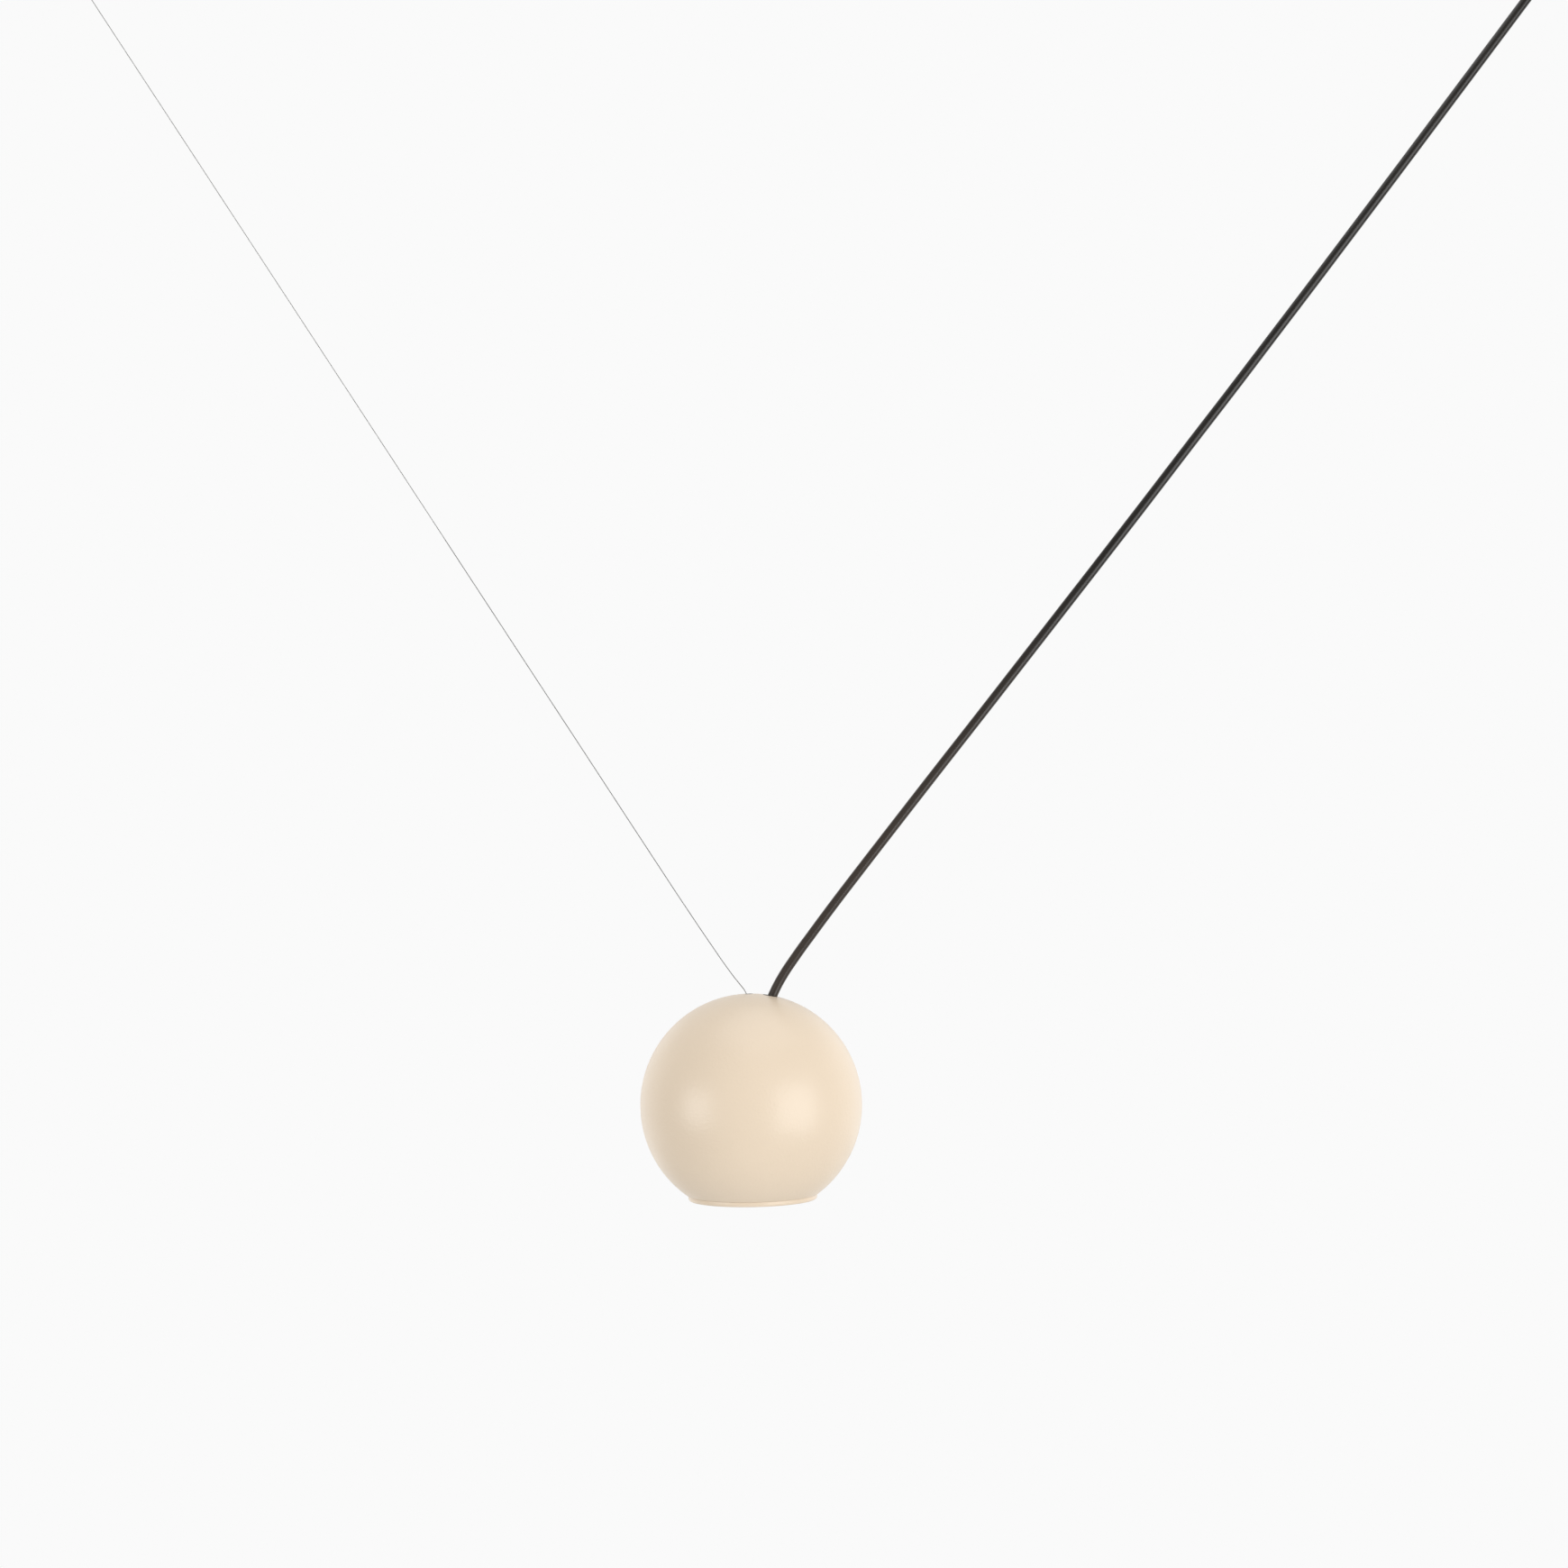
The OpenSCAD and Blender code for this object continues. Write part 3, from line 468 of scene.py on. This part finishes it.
# cords: x and z in millimetres from the middle of the globe, upwards
power = {
    "route": [
        (10.1, 40), (9.9, 52), (10.3, 58), (11.6, 64), (14, 70), (19.4, 80.4), (28.4, 94), (38.4, 107.8),
        (53.4, 128), (66.4, 145), (93, 179.4), (119.6, 213.6), (146.2, 247.6), (172.8, 281.8), (199.4, 316),
        (225.8, 350), (252.2, 384.2), (278.4, 418.4), (304.6, 452.4), (330.6, 486.6), (356.6, 520.8),
        (382.4, 555), (408, 589), (433.6, 623.2), (461, 659.8), (488.4, 696.4), (515, 732), (525.2, 745.65)],
    "diameter": 6.0, "exit": (12.9, 67.6), "sides": 8,
}
hanger = {
    "route": [
        (-0.95, 54), (-1.05, 61), (-1.5, 65), (-2.3, 68), (-3.6, 71.2), (-7.2, 76), (-12, 82), (-18.2, 90.6),
        (-24.8, 100.2), (-33, 112.2), (-48.2, 135), (-77.7, 180), (-107.1, 225), (-136.6, 270), (-195.5, 360),
        (-254.4, 450), (-313.3, 540), (-372.2, 630), (-401.7, 675), (-439, 732), (-443.9, 739.5)],
    "diameter": 0.6, "exit": (-2.3, 68), "strands": 6, "strandShape": (1.0, 0.93, 0.8, 0.93), "lay": 6.0,
}
routeSteps = 10  # between two points of a route


def fromGlobe(point):
    return Vector(layout["globe"]) + Vector((point[0], 0, point[1])) * mm


def routeCurve(name, points):
    curve = bpy.data.curves.new(name, "CURVE")
    curve.dimensions = "3D"
    curve.resolution_u = routeSteps
    curve.use_fill_caps = True
    line = curve.splines.new("BEZIER")
    line.bezier_points.add(len(points) - 1)
    for knot, point in zip(line.bezier_points, points):
        knot.co = point
        knot.handle_left_type = knot.handle_right_type = "AUTO"
    piece = bpy.data.objects.new(name, curve)
    bpy.context.collection.objects.link(piece)
    return piece


def routeLength(points):
    return sum((b - a).length for a, b in zip(points, points[1:]))


# power cable: one round sheath
cablePoints = [fromGlobe(p) for p in power["route"]]
powerCable = routeCurve("powerCable", cablePoints)
powerCable.data.bevel_depth = power["diameter"] / 2 * mm
powerCable.data.bevel_resolution = power["sides"]
finishPiece(powerCable, "pendant", "black_rubber", "power_cable")


# points at even steps along a route, with its two ends
def alongRoute(points, step):
    marks, left = [points[0]], step
    for a, b in zip(points, points[1:]):
        span = (b - a).length
        while span >= left:
            a = a + (b - a).normalized() * left
            span -= left
            marks.append(a)
            left = step
        left -= span
    return marks + [points[-1]]


# the wire's outline: one lobe for each strand
def strandOutline():
    clearSelection()
    bpy.ops.curve.primitive_bezier_circle_add(radius=hanger["diameter"] / 2 * mm)
    section = bpy.context.object
    section.data.splines.clear()
    line = section.data.splines.new("POLY")
    swells = hanger["strandShape"] * hanger["strands"]
    line.points.add(len(swells) - 1)
    for k, (knot, swell) in enumerate(zip(line.points, swells)):
        turn = 2 * math.pi * k / len(swells)
        reach = hanger["diameter"] / 2 * mm * swell
        knot.co = (reach * math.cos(turn), reach * math.sin(turn), 0, 1)
    line.use_cyclic_u = True
    return section


# suspension wire: six strands laid round each other, one turn in each lay
wirePoints = [fromGlobe(p) for p in hanger["route"]]
suspensionWire = routeCurve("suspensionWire", alongRoute(wirePoints, hanger["lay"] * mm))
for k, knot in enumerate(suspensionWire.data.splines[0].bezier_points):
    knot.tilt = 2 * math.pi * k
strandSection = strandOutline()
suspensionWire.data.bevel_mode = "OBJECT"
suspensionWire.data.bevel_object = strandSection
pick(suspensionWire)
bpy.ops.object.convert(target="MESH")
bpy.data.objects.remove(strandSection)
cleanMesh(suspensionWire)
bpy.ops.object.shade_smooth()
finishPiece(suspensionWire, "pendant", "steel_wire", "suspension_wire")
print("cords laid:", round(routeLength(cablePoints), 3), round(routeLength(wirePoints), 3))

# globe shell: spun ball with a flat cut, the wire's hole on its axis and the cable's hole beside it
ball = {"radius": 70.0, "wall": 2.0, "cutRadius": 41.05, "ease": 0.12, "skin": 69.95, "shadeAbove": 40.0,
        "wireHole": 2.5, "cableHole": 4.7, "cableHoleX": 13.2, "cableHoleZ": 66.0, "drillLength": 30.0,
        "outerSteps": 72, "innerSteps": 60, "easeSteps": 4, "sides": 192, "drillSides": 96}
innerRadius = ball["radius"] - ball["wall"]
cut = math.sqrt(ball["radius"] ** 2 - ball["cutRadius"] ** 2)
mouth = math.sqrt(innerRadius ** 2 - cut ** 2)
outer = arc(ball["radius"], polar(ball["radius"], r=ball["wireHole"]), polar(ball["radius"], -cut),
            ball["outerSteps"])
inner = arc(innerRadius, polar(innerRadius, -cut), polar(innerRadius, r=ball["wireHole"]), ball["innerSteps"])
for line in (outer, inner):
    line[0] = (*line[0], ball["ease"])
    line[-1] = (*line[-1], ball["ease"])
globeShell = turned("globeShell", eased(outer + inner, ball["easeSteps"]), onGlobe, ball["sides"])
clearSelection()
bpy.ops.mesh.primitive_cylinder_add(vertices=ball["drillSides"], radius=ball["cableHole"] * mm,
                                    depth=ball["drillLength"] * mm)
drillBit = bpy.context.object
drillBit.matrix_world = onGlobe @ Matrix.Translation(Vector((ball["cableHoleX"], 0, ball["cableHoleZ"])) * mm)
cutAway(globeShell, drillBit)
smooth()
# the shell's coat carries painted shade inside it and on the walls of its holes
finishPiece(globeShell, "pendant", "beige_paint", "globe_upper", "globe_lower",
            material=powderCoat("globePowderCoat", onGlobe, ball["skin"] * mm, ball["shadeAbove"] * mm))

# light ring with its bayonet spigot, and the diffuser that lies in it
ringGap = 0.1
ringTop = -cut - ringGap
collar = {
    "radius": 40.65, "top": ringTop, "bottom": ringTop - 3.0, "lip": ringTop - 1.2,
    "spigotTop": ringTop + 10.5, "spigotOut": mouth - 0.3, "spigotIn": mouth - 2.7, "aperture": mouth - 5.2,
    "bevel": 1.6, "ease": 1.6, "topEase": 0.1, "sides": 180,
    "lugs": 3, "lugTop": ringTop + 9.5, "lugBottom": ringTop + 6.5, "lugIn": mouth - 4.7, "lugTurn": 12.0,
}
lightRing = turned("lightRing", eased([
    (collar["aperture"] + collar["bevel"], collar["bottom"], edge["soft"]),
    (collar["radius"], collar["bottom"], collar["ease"]),
    (collar["radius"], collar["top"], collar["topEase"]),
    (collar["spigotOut"], collar["top"]),
    (collar["spigotOut"], collar["spigotTop"], edge["small"]),
    (collar["spigotIn"], collar["spigotTop"], edge["small"]),
    (collar["spigotIn"], collar["lugTop"]),
    (collar["spigotIn"], collar["lugBottom"]),
    (collar["spigotIn"], collar["lip"]),
    (collar["aperture"], collar["lip"], edge["fine"]),
]), onCeiling, collar["sides"])


def onLug(middle):
    pitch = 360 / collar["lugs"]
    turn = (math.degrees(math.atan2(middle.y, middle.x)) + pitch / 2) % pitch - pitch / 2
    onBore = abs(middle.xy.length - collar["spigotIn"]) < edge["fine"]
    return onBore and abs(turn) < collar["lugTurn"] / 2 and collar["lugBottom"] < middle.z < collar["lugTop"]


pickFaces(lightRing, onCeiling, onLug)
bpy.ops.mesh.extrude_region_shrink_fatten(
    TRANSFORM_OT_shrink_fatten={"value": (collar["spigotIn"] - collar["lugIn"]) * mm})
leaveFaces()
settle(lightRing, onGlobe)
finishPiece(lightRing, "ring", "beige_paint", "light_ring")

lens = {"radius": mouth - 2.8, "step": mouth - 5.3, "low": collar["lip"] - 0.8, "rest": collar["lip"] + 0.1,
        "top": collar["lip"] + 2.5, "hollow": 0.25, "hollowSide": 0.07, "hollowAt": 0.55, "stepEase": 0.6,
        "sides": 144}
diffuserDisc = turned("diffuserDisc", eased([
    (0, lens["low"] + lens["hollow"]),
    (lens["step"] * lens["hollowAt"], lens["low"] + lens["hollowSide"]),
    (lens["step"], lens["low"], lens["stepEase"]),
    (lens["step"], lens["rest"]),
    (lens["radius"], lens["rest"], edge["fine"]),
    (lens["radius"], lens["top"], edge["soft"]),
    (0, lens["top"]),
]), onGlobe, lens["sides"])
finishPiece(diffuserDisc, "ring", "opal", "diffuser")
print("globe, ring and diffuser made")

# canopy: spun cup, its three screws, and the swivel below it
cup = {"radius": 50.0, "wall": 1.8, "rim": -0.5, "bottom": -30.22, "edge": 8.0, "edgeSteps": 12, "hole": 17.7,
       "sides": 160}
canopyCover = turned("canopyCover", eased([
    (cup["radius"], cup["rim"], edge["soft"]),
    (cup["radius"], cup["bottom"], cup["edge"]),
    (cup["hole"], cup["bottom"], edge["small"]),
    (cup["hole"], cup["bottom"] + cup["wall"]),
    (cup["radius"] - cup["wall"], cup["bottom"] + cup["wall"], cup["edge"] - cup["wall"]),
    (cup["radius"] - cup["wall"], cup["rim"], edge["soft"]),
], cup["edgeSteps"]), onCeiling, cup["sides"])
finishPiece(canopyCover, "ceiling", "beige_paint", "canopy_cover")

# one screw is turned, gets its crossed slots and is copied round the cover
coverScrew = {"shank": 2.0, "head": 3.6, "headTop": 0.8, "underHead": 0.4, "rise": 2.4, "headEase": 0.7,
              "tail": -6.6, "sides": 48, "slotLength": 1.1, "slotWidth": 0.9, "slotDepth": 0.9,
              "z": -9.0, "turns": (60, 180, 300)}
screwStart = turned("canopyScrews", eased([
    (0, coverScrew["tail"]),
    (coverScrew["shank"], coverScrew["tail"], edge["soft"]),
    (coverScrew["shank"], coverScrew["underHead"]),
    (coverScrew["head"], coverScrew["underHead"], edge["small"]),
    (coverScrew["head"] * coverScrew["headTop"], coverScrew["rise"], coverScrew["headEase"]),
    (0, coverScrew["rise"]),
]), onCeiling, coverScrew["sides"])
for turn in (0, 90):
    clearSelection()
    bpy.ops.mesh.primitive_cube_add(size=1)
    blade = bpy.context.object
    blade.scale = Vector((coverScrew["head"] * coverScrew["slotLength"], coverScrew["slotWidth"],
                          2 * coverScrew["slotDepth"])) * mm
    blade.rotation_euler.z = math.radians(turn)
    blade.location.z = coverScrew["rise"] * mm
    cutAway(screwStart, blade)
screwCopies = []
for turn in coverScrew["turns"]:
    copy = screwStart.copy()
    copy.data = screwStart.data.copy()
    bpy.context.collection.objects.link(copy)
    copy.matrix_world = (Matrix.Rotation(math.radians(turn), 4, "Z")
                         @ Matrix.Translation(Vector((cup["radius"], 0, coverScrew["z"])) * mm)
                         @ Matrix.Rotation(math.radians(90), 4, "Y"))
    screwCopies.append(copy)
bpy.data.objects.remove(screwStart)
clearSelection()
for copy in screwCopies:
    copy.select_set(True)
bpy.context.view_layer.objects.active = screwCopies[0]
bpy.ops.object.join()
canopyScrews = bpy.context.object
canopyScrews.name = "canopyScrews"
bpy.ops.object.transform_apply(location=True, rotation=True, scale=True)
cleanMesh(canopyScrews)
smooth()
finishPiece(canopyScrews, "ceiling", "zinc_steel", "canopy_screws")

# swivel socket: seat for the ball, opened out below for the swing
socket = {"seat": 14.3, "seatSteps": 14, "lip": 65.1, "flare": 2.2, "wall": 17.6, "flange": 21.1,
          "bottom": -8.22, "flangeLow": -6.32, "flangeHigh": -3.92, "top": 5.0, "thread": 15.9,
          "footEase": 0.6, "sides": 128}
lipRadius = socket["seat"] * math.sin(math.radians(socket["lip"]))
swivelSocket = turned("swivelSocket", eased([
    (lipRadius + socket["flare"], socket["bottom"], edge["soft"]),
    (socket["wall"], socket["bottom"], socket["footEase"]),
    (socket["wall"], socket["flangeLow"]),
    (socket["flange"], socket["flangeLow"], edge["small"]),
    (socket["flange"], socket["flangeHigh"], edge["small"]),
    (socket["wall"], socket["flangeHigh"]),
    (socket["wall"], socket["top"], edge["small"]),
    (socket["thread"], socket["top"], edge["small"]),
    (socket["thread"], 0),
    *arc(socket["seat"], 90, 180 - socket["lip"], socket["seatSteps"]),
]), onSocket, socket["sides"])
finishPiece(swivelSocket, "ceiling", "nickel_steel", "swivel_socket")

swivel = {"radius": 14.0, "bore": 5.1, "flat": 12.04, "steps": 40, "sides": 128}
swivelBall = turned("swivelBall", eased([
    (swivel["bore"], swivel["flat"], edge["small"]),
    *arc(swivel["radius"], polar(swivel["radius"], swivel["flat"]),
         180 - polar(swivel["radius"], r=swivel["bore"]), swivel["steps"]),
]), onCable, swivel["sides"])
finishPiece(swivelBall, "pendant", "nickel_steel", "swivel_ball")

# strain relief: head above the ball, shank through it and a ribbed taper along the cable
relief = {"bore": 3.1, "head": 6.5, "headTop": 15.04, "headEase": 0.8, "seat": 12.14, "shank": 5.0,
          "tip": 3.9, "tipEase": 0.5, "taperTop": -16.0, "end": -38.0, "sides": 64,
          "ribs": 5, "firstRib": -36.0, "pitch": 4.2, "groove": 3.7, "grooveWidth": 0.35}


def reliefRadius(z):
    share = (z - relief["end"]) / (relief["taperTop"] - relief["end"])
    return relief["tip"] + (relief["shank"] - relief["tip"]) * min(1.0, share)


ribSide = []
for rib in reversed(range(relief["ribs"])):
    low = relief["firstRib"] + rib * relief["pitch"]
    high = low + relief["grooveWidth"] * relief["pitch"]
    ribSide += [(reliefRadius(high), high, edge["soft"]), (relief["groove"], high, edge["small"]),
                (relief["groove"], low, edge["small"]), (reliefRadius(low), low, edge["soft"])]
strainRelief = turned("strainRelief", eased([
    (relief["bore"], relief["headTop"]),
    (relief["head"], relief["headTop"], relief["headEase"]),
    (relief["head"], relief["seat"], edge["soft"]),
    (relief["shank"], relief["seat"]),
    (relief["shank"], relief["taperTop"]),
    *ribSide,
    (relief["tip"], relief["end"], relief["tipEase"]),
    (relief["bore"], relief["end"], edge["fine"]),
]), onCable, relief["sides"])
finishPiece(strainRelief, "pendant", "black_rubber", "cable_strain_relief")
print("canopy and swivel made")

# wire anchor: base on the ceiling and the cap that holds the gripper's ball
anchor = {"radius": 12.0, "flange": -3.0, "stub": 7.8, "stubEnd": -10.0, "hole": 2.5, "seat": 4.75,
          "seatTop": -6.5, "bore": 7.9, "bottom": -26.61, "bottomEase": 2.0, "ball": -22.0, "cupRadius": 7.3,
          "cupLip": 59.44, "cupSteps": 12, "flare": 1.2, "easeSteps": 8, "sides": 96,
          "grip": {"high": -5.5, "low": -11.5, "rows": 8, "depth": 0.2, "crisp": 20}}
anchorBase = turned("anchorBase", eased([
    (anchor["hole"], 0, edge["fine"]),
    (anchor["radius"], 0, edge["small"]),
    (anchor["radius"], anchor["flange"], edge["fine"]),
    (anchor["stub"], anchor["flange"]),
    (anchor["stub"], anchor["stubEnd"], edge["soft"]),
    (anchor["seat"], anchor["stubEnd"], edge["fine"]),
    (anchor["seat"], anchor["seatTop"]),
    (anchor["hole"], anchor["seatTop"]),
]), onAnchor, anchor["sides"])
finishPiece(anchorBase, "ceiling", "zinc_steel", "anchor_base")
cupLip = anchor["cupRadius"] * math.sin(math.radians(anchor["cupLip"]))
cupArc = arc(anchor["cupRadius"], 180 - anchor["cupLip"], 90, anchor["cupSteps"])
anchorCap = turned("anchorCap", eased([
    (anchor["bore"], anchor["flange"]),
    (anchor["radius"], anchor["flange"], edge["small"]),
    *gripRows(anchor["radius"], anchor["grip"]),
    (anchor["radius"], anchor["bottom"], anchor["bottomEase"]),
    (cupLip + anchor["flare"], anchor["bottom"], edge["small"]),
    *[(r, z + anchor["ball"]) for r, z in cupArc],
    (anchor["bore"], anchor["ball"]),
], anchor["easeSteps"]), onAnchor, anchor["sides"])
knurl(anchorCap, onAnchor, anchor["radius"], anchor["grip"])
finishPiece(anchorCap, "ceiling", "nickel_steel", "anchor_cap")

# wire gripper: ball head, sleeve with its taper, plunger and spring
head = {"ball": 7.0, "ballSteps": 32, "bore": 0.5, "neck": 2.2, "neckEnd": -9.7,
        "plug": 2.9, "plugEnd": -15.0, "sides": 72}
gripperHead = turned("gripperHead", eased([
    *arc(head["ball"], polar(head["ball"], r=head["bore"]), 180 - polar(head["ball"], r=head["neck"]),
         head["ballSteps"]),
    (head["neck"], head["neckEnd"]),
    (head["plug"], head["neckEnd"], edge["small"]),
    (head["plug"], head["plugEnd"], edge["small"]),
    (head["bore"], head["plugEnd"]),
]), onWire, head["sides"])
finishPiece(gripperHead, "pendant", "nickel_steel", "gripper_head")

sleeve = {"radius": 3.5, "top": -10.5, "bottom": -32.0, "thread": 3.0, "threadEnd": -15.1, "chamber": 2.6,
          "taperTop": -22.5, "taperEnd": -29.5, "throat": 1.75, "nose": 1.55, "ease": 0.7, "sides": 44,
          "grip": {"high": -12.5, "low": -18.5, "rows": 12, "depth": 0.14, "crisp": 20}}
gripperSleeve = turned("gripperSleeve", eased([
    (sleeve["thread"], sleeve["top"]),
    (sleeve["radius"], sleeve["top"], edge["soft"]),
    *gripRows(sleeve["radius"], sleeve["grip"]),
    (sleeve["radius"], sleeve["bottom"], sleeve["ease"]),
    (sleeve["nose"], sleeve["bottom"], edge["fine"]),
    (sleeve["nose"], sleeve["taperEnd"]),
    (sleeve["throat"], sleeve["taperEnd"]),
    (sleeve["chamber"], sleeve["taperTop"]),
    (sleeve["chamber"], sleeve["threadEnd"]),
    (sleeve["thread"], sleeve["threadEnd"]),
]), onWire, sleeve["sides"])
knurl(gripperSleeve, onWire, sleeve["radius"], sleeve["grip"])
finishPiece(gripperSleeve, "pendant", "nickel_steel", "gripper_sleeve")

nipple = {"bore": 0.42, "tube": 1.4, "collar": 2.4, "collarTop": -21.0, "collarEnd": -22.2, "button": 2.7,
          "buttonTop": -35.1, "buttonEnd": -36.9, "buttonEase": 0.5, "sides": 64}
gripperPlunger = turned("gripperPlunger", eased([
    (nipple["bore"], nipple["collarTop"]),
    (nipple["collar"], nipple["collarTop"], edge["fine"]),
    (nipple["collar"], nipple["collarEnd"], edge["fine"]),
    (nipple["tube"], nipple["collarEnd"]),
    (nipple["tube"], nipple["buttonTop"]),
    (nipple["button"], nipple["buttonTop"], edge["small"]),
    (nipple["button"], nipple["buttonEnd"], nipple["buttonEase"]),
    (nipple["bore"], nipple["buttonEnd"], edge["fine"]),
]), onWire, nipple["sides"])
finishPiece(gripperPlunger, "plunger", "brass", "gripper_plunger")

coil = {"radius": 2.05, "wire": 0.25, "wireSides": 10, "turns": 5, "steps": 24, "low": -20.65, "length": 5.3,
        "crease": 60, "keep": 0.56}
clearSelection()
bpy.ops.mesh.primitive_circle_add(
    vertices=coil["wireSides"], radius=coil["wire"] * mm, rotation=(math.radians(90), 0, 0),
    location=(coil["radius"] * mm, 0, coil["low"] * mm))
gripperSpring = bpy.context.object
gripperSpring.name = "gripperSpring"
bpy.ops.object.transform_apply(location=True, rotation=True, scale=True)
winding = gripperSpring.modifiers.new("winding", "SCREW")
winding.angle = 2 * math.pi * coil["turns"]
winding.screw_offset = coil["length"] * mm
winding.steps = winding.render_steps = coil["steps"] * coil["turns"]
winding.use_merge_vertices = False
bpy.ops.object.modifier_apply(modifier=winding.name)
bpy.ops.object.mode_set(mode="EDIT")
bpy.ops.mesh.select_all(action="SELECT")
bpy.ops.mesh.fill_holes(sides=0)
cleanMesh(gripperSpring)
settle(gripperSpring, onWire, coil["crease"])
finishPiece(gripperSpring, "pendant", "zinc_steel", "gripper_spring")
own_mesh(gripperSpring)
print("anchor and gripper made")

# studio: pale floor, a large soft box and a smaller one in front, two behind and one overhead
studio = {
    "floorZ": -2.4, "floorRadius": 2.5, "floorSides": 128, "floorCloud": 3.0,
    "floorTones": ((0.89, 0.89, 0.885), (0.91, 0.91, 0.905)),
    "backdrop": 0.956, "room": 0.35, "roomEdge": (-0.2, 0.6), "ambient": 0.545, "far": 1.7,
    "boxes": {  # turn from the front towards the right, height angle, size in metres, watts
        "right": (47, 0, 1.37, 19.6), "left": (304, 0, 0.9, 9.9), "top": (44, 86, 1.6, 9.2),
        "backRight": (134, 8, 1.6, 3.2), "backLeft": (226, 0, 1.57, 3.1),
    },
}
clearSelection()
bpy.ops.mesh.primitive_circle_add(
    vertices=studio["floorSides"], radius=studio["floorRadius"], fill_type="NGON",
    location=(layout["globe"][0], 0, studio["floorZ"]))
floor = bpy.context.object
floor.name = "studioFloor"
paper = Finish("paleFloor", Roughness=0.9)
paperCloud = paper.noise(paper.coords(), studio["floorCloud"])
paper.feed("Base Color", paper.blend(paperCloud, *studio["floorTones"]))
floor.data.materials.append(paper.material)
for side, (turn, rise, size, watts) in studio["boxes"].items():
    turn, rise = math.radians(turn), math.radians(rise)
    toward = Vector((math.sin(turn) * math.cos(rise), -math.cos(turn) * math.cos(rise), math.sin(rise)))
    bpy.ops.object.light_add(type="AREA", location=Vector(layout["globe"]) + toward * studio["far"],
                             rotation=toward.to_track_quat("Z", "Y").to_euler())
    lamp = bpy.context.object
    lamp.name = side + "SoftBox"
    lamp.data.size = size
    lamp.data.energy = watts
    lamp.visible_camera = False


def grey(level):
    return (level, level, level)


# white to the camera, a white backdrop and a darker room in reflections, an even light everywhere else
world = bpy.data.worlds.new("studioWorld")
bpy.context.scene.world = world
world.use_nodes = True
sky = Nodes(world.node_tree)
facing = sky.make("SeparateXYZ", {}, {0: sky.make("TexCoord", output="Generated")}, output="Y")
behind = sky.make("MapRange", {"interpolation_type": "SMOOTHSTEP"},
                  {"Value": facing, "From Min": studio["roomEdge"][0], "From Max": studio["roomEdge"][1]})
around = sky.blend(behind, grey(studio["room"]), grey(studio["backdrop"]))
mirrored = sky.blend(sky.make("LightPath", output="Is Glossy Ray"), grey(studio["ambient"]), around)
through = sky.make("LightPath", output="Is Transmission Ray")
straight = sky.make("LightPath", output="Is Camera Ray").math("MAXIMUM", through)
seen = sky.blend(straight, mirrored, grey(studio["backdrop"]))
sky.tree.links.new(seen.socket, sky.tree.nodes["Background"].inputs["Color"])
bpy.context.scene.view_settings.view_transform = "Standard"
print("studio lit")
